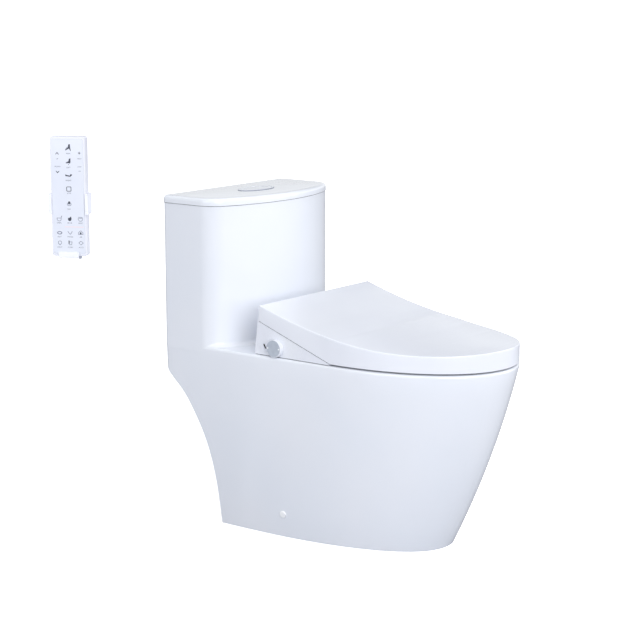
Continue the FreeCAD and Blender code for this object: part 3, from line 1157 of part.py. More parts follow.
def make_all():
    save("china_body", china_body())
    make_floor_fixings()
    make_flush_valve()
    make_fill_valve()
    make_buttons(*make_tank_lid())
    make_lid()
    make_seat()
    save("unit_cover", unit_cover())
    save("unit_case", lower_case())
    make_unit_mounting()
    make_filter_and_release()
    make_water_works()
    make_control_board()
    make_wand()
    make_dryer()
    make_hinge_drives()
    make_remote()


make_all()
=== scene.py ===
# %% [markdown]
# # A smart toilet with a heated seat, and its remote control
# This lesson dresses a finished CAD model in Blender. The model comes in as a fixed frame:
# every solid already has its size and its place, in metres, with the origin at the waste
# outlet on the floor, +Z up and the front of the bowl towards -Y. Here the solids get smooth
# surfaces, small details and finishes, and a studio to be looked at in.

# %% Load the frame
import json
import math
import bmesh
import bpy
from mathutils import Matrix, Vector

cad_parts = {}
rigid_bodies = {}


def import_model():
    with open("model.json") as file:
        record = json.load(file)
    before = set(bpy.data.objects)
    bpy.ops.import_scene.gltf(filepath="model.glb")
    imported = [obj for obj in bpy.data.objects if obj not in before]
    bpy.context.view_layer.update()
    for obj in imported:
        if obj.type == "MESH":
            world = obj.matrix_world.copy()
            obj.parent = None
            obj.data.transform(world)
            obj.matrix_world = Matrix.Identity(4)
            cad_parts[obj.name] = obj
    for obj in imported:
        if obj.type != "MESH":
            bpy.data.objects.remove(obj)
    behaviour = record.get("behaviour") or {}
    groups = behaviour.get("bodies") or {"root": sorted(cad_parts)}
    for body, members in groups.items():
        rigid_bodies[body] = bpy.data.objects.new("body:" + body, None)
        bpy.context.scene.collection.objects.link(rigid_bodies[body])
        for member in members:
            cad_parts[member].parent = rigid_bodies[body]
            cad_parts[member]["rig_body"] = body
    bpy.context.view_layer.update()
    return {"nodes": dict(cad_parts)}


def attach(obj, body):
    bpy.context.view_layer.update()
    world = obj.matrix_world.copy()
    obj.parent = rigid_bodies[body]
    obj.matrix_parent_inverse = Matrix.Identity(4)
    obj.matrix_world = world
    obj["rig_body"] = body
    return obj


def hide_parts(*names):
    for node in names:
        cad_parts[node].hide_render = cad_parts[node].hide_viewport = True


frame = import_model()
nodes = frame["nodes"]
print("nodes in the frame:", len(nodes))

# %% [markdown]
# ## Camera
# The product shot looks down by eleven degrees from the left front. The camera stands
# 3.7 m away with a long lens, so that the toilet shows little perspective. Its position is
# worked out from the point that it looks at, which keeps the two easy to change together.

# %% Camera
AZIMUTH, ELEVATION = math.radians(-52.587), math.radians(10.964)
DISTANCE = 3.7
AIM_RIGHT, AIM_UP = -0.022181, 0.436213
FOCAL_PIXELS, PICTURE_PIXELS, SENSOR_MM = 1763.344, 640, 36.0
FAR_CLIP = 500                                       # past the edge of the floor


def link(obj):
    bpy.context.scene.collection.objects.link(obj)
    return obj


back = Vector((math.sin(AZIMUTH) * math.cos(ELEVATION), -math.cos(AZIMUTH) * math.cos(ELEVATION),
               math.sin(ELEVATION)))
right = Vector((math.cos(AZIMUTH), math.sin(AZIMUTH), 0))
camera_data = bpy.data.cameras.new("camera")
camera_data.sensor_width = SENSOR_MM
camera_data.lens = FOCAL_PIXELS / PICTURE_PIXELS * SENSOR_MM
camera = link(bpy.data.objects.new("camera", camera_data))
camera.location = right * AIM_RIGHT + Vector((0, 0, AIM_UP)) + back * DISTANCE
camera.rotation_mode = "QUATERNION"
camera.rotation_quaternion = back.to_track_quat("Z", "Y")
camera_data.clip_end = FAR_CLIP
bpy.context.scene.camera = camera
print("camera at", [round(v, 3) for v in camera.location], "lens", round(camera_data.lens, 2))

# %% [markdown]
# ## Studio
# White goods are photographed on a white sweep under large soft lights, so that the glaze
# shows broad, gentle reflections. The floor is a big pale disc. The dome of light has a dark
# band part of the way up, which gives the white body its grey-blue shape, and three wide
# area lights put the bright bands on the front of the tank and the nose of the bowl. The
# camera sees the floor as white paper, while the light that the floor sends back to the
# toilet is that of a greyer one, so that the white body keeps some shade near the ground.

# %% Studio
FLOOR_BOUNCE = (0.385, 0.395, 0.43, 1)
FLOOR_SEEN, FLOOR_GLOW = (0.93, 0.935, 0.945, 1), 0.72
FLOOR_RADIUS, FLOOR_HEIGHT, FLOOR_CORNERS = 300, -0.0005, 64
SKY = ((0.0, 0.74), (0.2, 0.88), (0.4, 0.10), (1.0, 1.24))        # height and brightness


def colour(hex_text):
    """An RGBA colour in linear light from a hex code such as e6ebf2."""
    parts = [int(hex_text[i:i + 2], 16) / 255 for i in (0, 2, 4)]
    linear = [c / 12.92 if c <= 0.04045 else ((c + 0.055) / 1.055) ** 2.4 for c in parts]
    return (*linear, 1.0)


def new_material(name):
    material = bpy.data.materials.new(name)
    material.use_nodes = True
    tree = material.node_tree
    shader = tree.nodes["Principled BSDF"]
    return material, tree, shader


def mesh_object(name, verts, faces):
    mesh = bpy.data.meshes.new(name)
    mesh.from_pydata([tuple(v) for v in verts], [], faces)
    mesh.validate()
    return link(bpy.data.objects.new(name, mesh))


floor_mat, floor_tree, floor_shader = new_material("studio floor")
floor_shader.inputs["Base Color"].default_value = FLOOR_BOUNCE
floor_shader.inputs["Roughness"].default_value = 0.9
floor_shader.inputs["Specular IOR Level"].default_value = 0.1
paper = floor_tree.nodes.new("ShaderNodeBsdfDiffuse")
paper.inputs["Color"].default_value = FLOOR_SEEN
glow = floor_tree.nodes.new("ShaderNodeEmission")
glow.inputs["Strength"].default_value = FLOOR_GLOW
lit_paper = floor_tree.nodes.new("ShaderNodeAddShader")
seen = floor_tree.nodes.new("ShaderNodeLightPath")
pick = floor_tree.nodes.new("ShaderNodeMixShader")
floor_tree.links.new(paper.outputs[0], lit_paper.inputs[0])
floor_tree.links.new(glow.outputs[0], lit_paper.inputs[1])
floor_tree.links.new(seen.outputs["Is Camera Ray"], pick.inputs["Fac"])
floor_tree.links.new(floor_shader.outputs[0], pick.inputs[1])
floor_tree.links.new(lit_paper.outputs[0], pick.inputs[2])
floor_tree.links.new(pick.outputs[0], floor_tree.nodes["Material Output"].inputs["Surface"])
rim = [(FLOOR_RADIUS * math.cos(a * math.tau / FLOOR_CORNERS),
        FLOOR_RADIUS * math.sin(a * math.tau / FLOOR_CORNERS), FLOOR_HEIGHT)
       for a in range(FLOOR_CORNERS)]
floor = mesh_object("studio_floor", rim, [tuple(range(FLOOR_CORNERS))])
floor.data.materials.append(floor_mat)

world = bpy.data.worlds.new("studio")
bpy.context.scene.world = world
world.use_nodes = True
sky = world.node_tree
where = sky.nodes.new("ShaderNodeTexCoord")
axes = sky.nodes.new("ShaderNodeSeparateXYZ")
ramp = sky.nodes.new("ShaderNodeValToRGB")
sky.links.new(where.outputs["Generated"], axes.inputs[0])
sky.links.new(axes.outputs["Z"], ramp.inputs["Fac"])
sky.links.new(ramp.outputs["Color"], sky.nodes["Background"].inputs["Color"])
stops = ramp.color_ramp.elements
for height, _ in SKY[1:-1]:
    stops.new(height)
for stop, (height, level) in zip(stops, SKY):
    stop.position, stop.color = height, (0.98 * level, level, 1.03 * level, 1)
sky.nodes["Background"].inputs["Strength"].default_value = 1.0


def area_light(name, spot, aim, size, power):
    data = bpy.data.lights.new(name, "AREA")
    data.shape = "RECTANGLE"
    data.size, data.size_y = size
    data.energy = power
    light = link(bpy.data.objects.new(name, data))
    light.location = spot
    light.rotation_mode = "QUATERNION"
    light.rotation_quaternion = (Vector(spot) - Vector(aim)).to_track_quat("Z", "Y")


area_light("left front window", (-2.0, -3.0, 1.7), (0, 0, 0.45), (2.2, 2.2), 73)
area_light("left window", (-3.4, 0.0, 1.6), (0, 0, 0.5), (2.2, 2.2), 25)
area_light("right window", (2.4, -2.6, 1.5), (0, 0, 0.4), (2.2, 2.2), 45)
bpy.context.scene.view_settings.view_transform = "Standard"

# %% [markdown]
# ## Shared surface effects
# Two effects come back in many finishes here: a slow drift of tone and waviness, as on any
# fired or moulded surface, and a fine grain that breaks up a reflection. Each is built once
# as a node group. A group only puts out values that change over the surface, and every
# material feeds them to its own shader.

# %% Surface effect groups
def new_group(name, inputs, outputs):
    group = bpy.data.node_groups.new(name, "ShaderNodeTree")
    for label, kind, value in inputs:
        socket = group.interface.new_socket(label, in_out="INPUT", socket_type=kind)
        socket.default_value = value
    for label, kind in outputs:
        group.interface.new_socket(label, in_out="OUTPUT", socket_type=kind)
    return group, group.nodes.new("NodeGroupInput"), group.nodes.new("NodeGroupOutput")


def drift_group():
    group, start, end = new_group("slow drift", [("Scale", "NodeSocketFloat", 6.0)],
                                  [("Tone", "NodeSocketFloat"), ("Wave", "NodeSocketFloat")])
    coords = group.nodes.new("ShaderNodeTexCoord")
    tone, wave = (group.nodes.new("ShaderNodeTexNoise") for _ in range(2))
    finer = group.nodes.new("ShaderNodeMath")
    finer.operation = "MULTIPLY"
    finer.inputs[1].default_value = 3.1
    tone.inputs["Detail"].default_value = 2.0
    wave.inputs["Detail"].default_value = 1.0
    group.links.new(coords.outputs["Object"], tone.inputs["Vector"])
    group.links.new(coords.outputs["Object"], wave.inputs["Vector"])
    group.links.new(start.outputs["Scale"], tone.inputs["Scale"])
    group.links.new(start.outputs["Scale"], finer.inputs[0])
    group.links.new(finer.outputs[0], wave.inputs["Scale"])
    group.links.new(tone.outputs["Fac"], end.inputs["Tone"])
    group.links.new(wave.outputs["Fac"], end.inputs["Wave"])
    return group


def grain_group():
    group, start, end = new_group("fine grain", [("Scale", "NodeSocketFloat", 900.0),
                                                 ("Stretch", "NodeSocketVector", (1, 1, 1))],
                                  [("Grain", "NodeSocketFloat"), ("Pits", "NodeSocketFloat")])
    coords = group.nodes.new("ShaderNodeTexCoord")
    stretch = group.nodes.new("ShaderNodeVectorMath")
    stretch.operation = "MULTIPLY"
    noise = group.nodes.new("ShaderNodeTexNoise")
    noise.inputs["Detail"].default_value = 3.0
    cells = group.nodes.new("ShaderNodeTexVoronoi")
    group.links.new(coords.outputs["Object"], stretch.inputs[0])
    group.links.new(start.outputs["Stretch"], stretch.inputs[1])
    for node in (noise, cells):
        group.links.new(stretch.outputs[0], node.inputs["Vector"])
        group.links.new(start.outputs["Scale"], node.inputs["Scale"])
    group.links.new(noise.outputs["Fac"], end.inputs["Grain"])
    group.links.new(cells.outputs["Distance"], end.inputs["Pits"])
    return group


DRIFT, GRAIN = drift_group(), grain_group()
print("shared effects:", DRIFT.name, "and", GRAIN.name)

# %% [markdown]
# ## Finishes
# One recipe covers most of the parts: two close tones mixed by the slow drift, a roughness
# that wanders a little with the grain, and a shallow bump. What sets one finish apart from
# another is its gloss, its clear coat and how strong each effect is.

# %% Finish recipe
COMMON_IOR = 1.5


def put_group(tree, group, **values):
    node = tree.nodes.new("ShaderNodeGroup")
    node.node_tree = group
    for label, value in values.items():
        node.inputs[label].default_value = value
    return node


def spread(tree, source, low, high):
    """Maps a value from the range 0 to 1 to the range low to high."""
    node = tree.nodes.new("ShaderNodeMapRange")
    tree.links.new(source, node.inputs["Value"])
    node.inputs["To Min"].default_value = low
    node.inputs["To Max"].default_value = high
    return node.outputs["Result"]


def two_tone(tree, source, first, second):
    """Mixes two colours over the middle of a 0 to 1 range, where noise mostly lies."""
    low, high = 0.35, 0.65
    ramp_node = tree.nodes.new("ShaderNodeValToRGB")
    first_stop, second_stop = ramp_node.color_ramp.elements
    first_stop.position, first_stop.color = low, first
    second_stop.position, second_stop.color = high, second
    tree.links.new(source, ramp_node.inputs["Fac"])
    return ramp_node.outputs["Color"]


def bump(tree, shader, height, strength, distance):
    node = tree.nodes.new("ShaderNodeBump")
    node.inputs["Strength"].default_value = strength
    node.inputs["Distance"].default_value = distance
    tree.links.new(height, node.inputs["Height"])
    tree.links.new(node.outputs["Normal"], shader.inputs["Normal"])


def finish(name, first, second, rough=(0.3, 0.4), drift=6.0, grain=900.0, stretch=(1, 1, 1),
           bump_by=("Grain", 0.1, 0.0002), metallic=0.0, coat=0.0, coat_rough=0.05):
    material, tree, shader = new_material(name)
    slow = put_group(tree, DRIFT, Scale=drift)
    fine = put_group(tree, GRAIN, Scale=grain, Stretch=stretch)
    tone = two_tone(tree, slow.outputs["Tone"], colour(first), colour(second))
    tree.links.new(tone, shader.inputs["Base Color"])
    tree.links.new(spread(tree, fine.outputs["Grain"], *rough), shader.inputs["Roughness"])
    label, strength, distance = bump_by
    source = slow if label == "Wave" else fine
    bump(tree, shader, source.outputs[label], strength, distance)
    shader.inputs["Metallic"].default_value = metallic
    shader.inputs["Coat Weight"].default_value = coat
    shader.inputs["Coat Roughness"].default_value = coat_rough
    shader.inputs["IOR"].default_value = COMMON_IOR
    return material


# %% [markdown]
# Sanitary ware is a fired white body under a thick clear glaze. The glaze evens out into a
# slightly wavy, wet-looking surface, so the clear coat is strong and nearly sharp, while the
# layer under it scatters. The seat and covers are moulded plastic: less deep, a touch softer.

# %% Finishes of the big white parts
GLAZE = finish("glazed china", "e9edf5", "eceff6", rough=(0.10, 0.16), drift=5.0,
               bump_by=("Wave", 0.06, 0.004), coat=0.7, coat_rough=0.04)
SHELL = finish("gloss white shell", "e6e9f2", "e9ecf4", rough=(0.20, 0.27), drift=7.0,
               bump_by=("Grain", 0.03, 0.0001), coat=0.25, coat_rough=0.12)
SEAT_PLASTIC = finish("seat plastic", "e9ebf0", "eceef2", rough=(0.22, 0.30), drift=9.0,
                      bump_by=("Grain", 0.03, 0.0001), coat=0.2, coat_rough=0.15)
COVER_PLASTIC = finish("cover plastic", "e7eaf3", "eaedf4", rough=(0.24, 0.32), drift=12.0,
                       bump_by=("Grain", 0.05, 0.0001), coat=0.15, coat_rough=0.15)
REMOTE_CASE = finish("remote case plastic", "dfe1eb", "e2e4ee", rough=(0.30, 0.38), drift=20.0,
                     bump_by=("Grain", 0.06, 0.00008))
HOLDER_PLASTIC = finish("holder plastic", "e9ebf5", "eceef7", rough=(0.30, 0.38), drift=20.0,
                        bump_by=("Grain", 0.06, 0.00008))
KEY_FILM = finish("key film", "dadeea", "dde1ec", rough=(0.16, 0.22), drift=18.0,
                  bump_by=("Grain", 0.02, 0.00005), coat=0.4, coat_rough=0.08)

# %% Finishes of the small parts
KNOB_GREY = finish("knob grey", "b4bcc8", "bcc4cf", rough=(0.34, 0.44), drift=120.0, grain=500.0,
                   stretch=(1, 1, 0.15), bump_by=("Grain", 0.12, 0.0002))
BUTTON_WHITE = finish("button white", "e4e8f1", "e8ebf3", rough=(0.16, 0.22), drift=30.0,
                      bump_by=("Grain", 0.02, 0.00005), coat=0.4, coat_rough=0.08)
CAP_WHITE = finish("cap white", "f9fafd", "fcfdff", rough=(0.2, 0.3), drift=60.0,
                   coat=0.3, coat_rough=0.1)
# Black for the unit's window and the release button. On the vent bars it is painted shade
# standing for slots.
DARK_AND_SLOT_SHADE = finish("dark plastic and painted slot shade", "14151a", "1b1c22", rough=(0.35, 0.5), grain=1400.0)
INK = finish("printed ink", "3a3e4c", "454957", rough=(0.45, 0.55), drift=60.0)
WORD_INK = finish("small printed ink", "5c6072", "676b7c", rough=(0.45, 0.55), drift=60.0)
# Light ink for the printed lines. The same grey also draws the painted shadow line at the foot of
# the flush buttons' bezel.
SOFT_INK_AND_SHADE = finish("light printed ink and painted shade", "787d90", "848999", rough=(0.45, 0.55), drift=60.0)
LED = finish("status line", "f0c9c9", "f3d6d6", rough=(0.3, 0.4), drift=60.0)
# A plain grey for the small nub at the foot of the holder.
NUB_GREY = finish("holder nub grey", "9094a4", "9a9eac", rough=(0.5, 0.6), drift=60.0)
# Painted seam shade: a near-black colour for the strips in the seams, standing for the shade in
# the gaps.
SEAM_SHADE = finish("painted seam shade", "23252e", "2b2d37", rough=(0.5, 0.6), drift=60.0)
RUBBER = finish("grey rubber", "8d8f93", "97999d", rough=(0.55, 0.7), grain=700.0,
                bump_by=("Pits", 0.15, 0.0002))
NYLON = finish("natural nylon", "dcdcd6", "e2e2dc", rough=(0.38, 0.5), drift=14.0,
               bump_by=("Grain", 0.1, 0.0001))
GREY_NYLON = finish("grey nylon", "9a9da2", "a4a7ab", rough=(0.4, 0.52), drift=14.0,
                    bump_by=("Grain", 0.1, 0.0001))
HOSE = finish("milky hose", "dfe3e2", "e6e9e8", rough=(0.25, 0.32), drift=40.0)
STEEL = finish("brushed steel", "a9acb1", "bcbfc3", rough=(0.24, 0.42), grain=600.0, drift=40.0,
               stretch=(0.05, 1, 1), bump_by=("Grain", 0.1, 0.0001), metallic=1.0)
BRASS = finish("turned brass", "c9a45a", "d4b26c", rough=(0.2, 0.34), grain=500.0, drift=50.0,
               stretch=(1, 8, 1), bump_by=("Grain", 0.08, 0.0001), metallic=1.0)
HEATER_GREY = finish("heater housing", "5a5d63", "666970", rough=(0.42, 0.55))
FOIL = finish("heater foil", "c9ccd0", "d8dadd", rough=(0.25, 0.4), drift=90.0, metallic=1.0)
BOARD_GREEN = finish("lacquered board", "1f5a33", "2a6b3e", rough=(0.25, 0.4), drift=160.0,
                     bump_by=("Pits", 0.2, 0.0002))
CELL = finish("battery sleeve", "4a5966", "586773", rough=(0.28, 0.36), drift=30.0)
FAN_BLACK = finish("fan black", "17181b", "202125", rough=(0.4, 0.5))
CHROME = finish("plated chrome", "d5d7da", "dfe1e4", rough=(0.06, 0.12), drift=30.0, metallic=1.0,
                bump_by=("Wave", 0.02, 0.0005))
print("finishes:", len(bpy.data.materials))

# %% [markdown]
# ## Smooth skins
# The frame's meshes are loose triangles. A copy whose doubles are merged can be shaded
# smooth, with edges kept sharp where two faces meet at more than a chosen angle. The copy
# stands for its solid from then on.

# %% Smooth skins
MERGE_DISTANCE = 2e-6


def smooth_copy(node, material, angle):
    source = nodes[node]
    mesh = source.data.copy()
    mesh.materials.clear()
    bm = bmesh.new()
    bm.from_mesh(mesh)
    bmesh.ops.remove_doubles(bm, verts=bm.verts, dist=MERGE_DISTANCE)
    bm.to_mesh(mesh)
    bm.free()
    if mesh.attributes.get("custom_normal"):
        mesh.attributes.remove(mesh.attributes["custom_normal"])
    for face in mesh.polygons:
        face.use_smooth = True
    mesh.set_sharp_from_angle(angle=math.radians(angle))
    mesh.materials.append(material)
    obj = link(bpy.data.objects.new(node + "_skin", mesh))
    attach(obj, source["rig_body"])
    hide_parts(node)
    return obj


SKINS = {"china_body": (GLAZE, 30), "tank_lid": (GLAZE, 30), "seat_lid": (SHELL, 24),
         "seat_upper_shell": (SEAT_PLASTIC, 26), "unit_cover": (COVER_PLASTIC, 24),
         "filter_knob": (COVER_PLASTIC, 40), "knob_face": (KNOB_GREY, 40),
         "release_button": (DARK_AND_SLOT_SHADE, 30),
         "button_bezel": (BUTTON_WHITE, 30), "half_flush_button": (BUTTON_WHITE, 30),
         "full_flush_button": (BUTTON_WHITE, 30), "remote_front_case": (REMOTE_CASE, 30),
         "remote_back_case": (REMOTE_CASE, 30), "remote_key_film": (KEY_FILM, 30),
         "remote_holder": (HOLDER_PLASTIC, 30), "screw_caps": (CAP_WHITE, 40),
         "wand_tip": (COVER_PLASTIC, 40), "wash_wand": (STEEL, 40)}
skins = {node: smooth_copy(node, *how) for node, how in SKINS.items()}
print("skins made:", len(skins))

# %% [markdown]
# ## Everything else
# The other solids have the right shape already. Each keeps its mesh and gets its finish.

# %% Finishes of the other solids
PLAIN = {NYLON: ("outlet_adapter", "unit_case", "base_plate", "bolt_nuts", "bezel_nut",
                 "flush_valve_body", "flush_canister", "fill_valve", "fill_valve_nut",
                 "wand_guide", "power_gland"),
         GREY_NYLON: ("floor_brackets", "fill_float", "solenoid_valve", "water_filter",
                      "blower_case"),
         RUBBER: ("outlet_seal", "flush_valve_gasket", "flush_seal", "fill_valve_washer",
                  "seat_bumpers", "lid_bumpers", "bolt_bushings"),
         STEEL: ("skirt_screws", "seat_bolts", "lift_motors", "wand_motor", "fan_motor",
                 "water_pump"),
         CHROME: ("seat_damper", "lid_damper"), HOSE: ("refill_tube",),
         BRASS: ("water_inlet",), HEATER_GREY: ("water_heater",), FOIL: ("seat_heater",),
         BOARD_GREEN: ("control_board", "remote_board"), FAN_BLACK: ("blower_fan",),
         CELL: ("remote_batteries",), SEAT_PLASTIC: ("seat_lower_shell",),
         REMOTE_CASE: ("remote_battery_door",), COVER_PLASTIC: ("dryer_flap",)}
for material, names in PLAIN.items():
    for name in names:
        mesh = nodes[name].data
        mesh.materials.clear()
        mesh.materials.append(material)
dressed = set(SKINS).union(*PLAIN.values())
left_plain = [n for n in nodes if n not in dressed]
print("solids without a finish:", left_plain)

# %% [markdown]
# ## A small workshop for flat pieces
# Printed signs, gaskets and lenses are thin plates with a flat outline. A matrix says where
# the drawing sheet lies: its first two axes are those of the outline, the third points out
# of the surface, and one unit on the sheet is a millimetre. Many plates share one mesh, and
# each is a closed solid, so it keeps its outside face wherever it is exported to.

# %% Flat plates
MM = Matrix.Diagonal((0.001, 0.001, 0.001, 1))


def plate(bm, outline, sheet, low, high):
    """A closed plate with this outline, from low to high above the sheet."""
    rings = [[bm.verts.new(sheet @ Vector((u, v, w))) for u, v in outline] for w in (low, high)]
    count = len(outline)
    bm.faces.new(rings[0])
    bm.faces.new(rings[1])
    for i in range(count):
        j = (i + 1) % count
        bm.faces.new((rings[0][i], rings[0][j], rings[1][j], rings[1][i]))


def band(bm, outer, inner, sheet, low, high):
    """A closed ring between two outlines with as many points."""
    rings = [[bm.verts.new(sheet @ Vector((u, v, w))) for u, v in line]
             for line, w in ((outer, low), (outer, high), (inner, high), (inner, low))]
    count = len(outer)
    for a in range(4):
        for i in range(count):
            j, b = (i + 1) % count, (a + 1) % 4
            bm.faces.new((rings[a][i], rings[a][j], rings[b][j], rings[b][i]))


def oval(x, y, a, b, count=32):
    return [(x + a * math.cos(k * math.tau / count), y + b * math.sin(k * math.tau / count))
            for k in range(count)]


def stroke(bm, points, width, sheet, low, high):
    """A pen line through the points, one short bar for each step."""
    for (x0, y0), (x1, y1) in zip(points, points[1:]):
        run = Vector((x1 - x0, y1 - y0)).normalized() * width / 2
        x0, y0, x1, y1 = x0 - run.x / 2, y0 - run.y / 2, x1 + run.x / 2, y1 + run.y / 2
        plate(bm, [(x0 + run.y, y0 - run.x), (x1 + run.y, y1 - run.x), (x1 - run.y, y1 + run.x),
                   (x0 - run.y, y0 + run.x)], sheet, low, high)


def settle(bm, name, material, body):
    """Turns the drawn plates into a finished piece that rides on a body."""
    bmesh.ops.recalc_face_normals(bm, faces=bm.faces)
    mesh = bpy.data.meshes.new(name)
    bm.to_mesh(mesh)
    bm.free()
    mesh.materials.append(material)
    obj = link(bpy.data.objects.new(name, mesh))
    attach(obj, body)
    print(name, "has", len(mesh.polygons), "faces")


# %% [markdown]
# ## The remote's signs
# The film over the keys carries small printed pictures, each with one plain word under it.
# They are drawn here with pen lines and filled outlines, 0.06 mm proud of the film, which is
# about as thick as screen print. Real print is a texture, but drawn shapes stay sharp at any
# distance and need no image.

# %% Signs on the key film
REMOTE = (Matrix.Translation((-0.742, 0.007, 0.769))
          @ Matrix.Rotation(math.radians(-60), 4, "Z"))           # the remote's place and turn
FILM_FRONT = 11.3
FILM = (REMOTE @ Matrix.Rotation(math.radians(90), 4, "X") @ MM
        @ Matrix.Translation((0, 0, FILM_FRONT)))                 # u to the right, v up
PRINT = (-0.05, 0.06)                                             # a print's back and front
BODY_REAR = [(2.3, 90.4), (5.3, 91.1), (5.6, 84.9), (6.7, 79.4), (5.8, 79.1), (3.7, 83.5),
             (-2.5, 80.1), (-3.4, 81.3), (1.8, 85.7)]
BODY_SOFT = [(3.0, 65.9), (5.8, 66.6), (5.5, 60.0), (4.6, 57.5), (1.5, 58.4), (-2.5, 57.7),
             (-2.8, 59.0), (1.8, 61.3)]
BODY_FRONT = [(-4.6, 38.8), (0.3, 37.3), (3.3, 36.6), (5.6, 39.5), (8.2, 38.0), (4.6, 34.6),
              (-4.0, 35.8)]
BODY_OSCILLATE = [(-1.2, -36.4), (0.6, -37.2), (2.2, -35.4), (4.2, -34.6), (5.0, -38.6),
                  (3.6, -42.0), (0.2, -42.6), (-1.6, -40.2)]

signs = bmesh.new()
for outline in (BODY_REAR, BODY_SOFT, BODY_FRONT, BODY_OSCILLATE):
    plate(signs, outline, FILM, *PRINT)
arrow_up = [(-20.4, 73.2), (-17.8, 76.4), (-15.2, 73.2)]
arrow_down = [(-20.4, 44.4), (-17.8, 41.2), (-15.2, 44.4)]
plus_across, plus_upright = [(19.5, 75.7), (23.3, 75.7)], [(21.4, 73.8), (21.4, 77.6)]
stop_key = [(-1.4, 9.6), (4.2, 9.6), (5.3, 10.7), (5.3, 16.1), (4.2, 17.2), (-1.4, 17.2),
            (-2.5, 16.1), (-2.5, 10.7), (-1.4, 9.6)]
for points in (arrow_up, arrow_down, plus_across, plus_upright, stop_key):
    stroke(signs, points, 1.1, FILM, *PRINT)
plate(signs, oval(1.4, -10.6, 2.1, 2.7, 20), FILM, *PRINT)
stroke(signs, [(-0.7, -82.2), (-0.7, -77.0)], 1.8, FILM, *PRINT)
plate(signs, oval(20.4, -63.6, 1.7, 1.9, 16), FILM, *PRINT)
settle(signs, "remote_signs", INK, "remote")

lines = bmesh.new()
stroke(lines, [(19.5, 44.6), (23.3, 44.6)], 0.8, FILM, *PRINT)
stroke(lines, [(1.2, 86.5), (-2.4, 82.9)], 0.7, FILM, *PRINT)
plate(lines, oval(2.1, 55.8, 0.7, 0.8, 12), FILM, *PRINT)
band(lines, oval(1.4, -13.2, 3.9, 2.9), oval(1.4, -13.2, 2.8, 1.9), FILM, *PRINT)
for x in (-17.2, 20.6):                              # two bowls, with an open and a shut lid
    stroke(lines, [(x - 4, -37.4), (x + 3.6, -37.4), (x + 3.4, -40.4), (x + 1.6, -42.4),
                   (x - 1.6, -42.4), (x - 3.6, -40.2), (x - 4, -37.4)], 0.9, FILM, *PRINT)
stroke(lines, [(-14.0, -37.2), (-12.4, -33.6)], 1.1, FILM, *PRINT)
stroke(lines, [(16.8, -35.6), (24.2, -35.6)], 0.9, FILM, *PRINT)
band(lines, oval(-17.0, -63.2, 4.6, 2.9), oval(-17.0, -63.2, 2.7, 1.4), FILM, *PRINT)
stroke(lines, [(-2.2, -60.6), (1.0, -65.2), (2.6, -65.2), (5.4, -60.6)], 1.0, FILM, *PRINT)
stroke(lines, [(16.4, -65.6), (16.4, -62.4), (20.4, -59.0), (24.4, -62.4), (24.4, -65.6),
               (16.4, -65.6)], 0.8, FILM, *PRINT)
band(lines, oval(-17.0, -80.4, 3.4, 3.4), oval(-17.0, -80.4, 2.5, 2.5), FILM, *PRINT)
stroke(lines, [(-18.2, -84.4), (-15.8, -84.4)], 0.8, FILM, *PRINT)
stroke(lines, [(0.8, -78.8), (4.8, -78.8), (3.8, -83.8), (-0.8, -83.8)], 0.9, FILM, *PRINT)
stroke(lines, [(20.6, -77.2), (24.6, -80.6), (20.6, -84.0), (16.6, -80.6), (20.6, -77.2)],
       0.9, FILM, *PRINT)
settle(lines, "remote_lines", SOFT_INK_AND_SHADE, "remote")

# %% Words under the signs
TEXT_SIZE, TEXT_HALF_DEPTH = 3.1, 0.055
WORDS = {(1.8, 74.7): "REAR", (1.8, 50.4): "SOFT", (1.2, 28.0): "FRONT", (1.5, 5.8): "STOP",
         (1.0, -21.7): "DRY", (-17.8, 65.4): "UP", (-17.8, 52.0): "DOWN", (21.4, 65.9): "HIGH",
         (21.4, 52.0): "LOW", (-17.4, -46.0): "OPEN", (1.4, -46.0): "MOVE",
         (20.6, -46.0): "SHUT", (-17.4, -70.2): "SEAT", (1.4, -70.2): "WATER",
         (20.6, -70.2): "AIR", (-17.4, -88.4): "LIGHT", (1.4, -88.4): "FLUSH",
         (20.6, -88.4): "AUTO"}
words = bmesh.new()
for (x, z), text in WORDS.items():
    curve = bpy.data.curves.new(text, "FONT")
    curve.body, curve.size, curve.extrude = text, TEXT_SIZE, TEXT_HALF_DEPTH
    curve.align_x = curve.align_y = "CENTER"
    letters = bpy.data.objects.new(text, curve)
    flat = letters.to_mesh()
    flat.transform(FILM @ Matrix.Translation((x, z, 0)))
    words.from_mesh(flat)
    letters.to_mesh_clear()
    bpy.data.curves.remove(curve)
settle(words, "remote_words", WORD_INK, "remote")

# %% [markdown]
# A thin status line glows a faint rose behind the film between the two groups of keys. A small
# grey plate stands for the dark nub at the foot of the holder.

# %% Status line
glow_line = bmesh.new()
plate(glow_line, [(-7.4, -53.0), (26.3, -53.0), (26.3, -52.2), (-7.4, -52.2)], FILM, *PRINT)
settle(glow_line, "remote_status_line", LED, "remote")

# %% Nub of the holder
nub = bmesh.new()
plate(nub, [(17.1, -108.6), (21.8, -107.6), (22.2, -104.2), (20.6, -103.0), (17.1, -103.4)],
      FILM, 0.8, 2.6)
settle(nub, "holder_nub", NUB_GREY, "base")
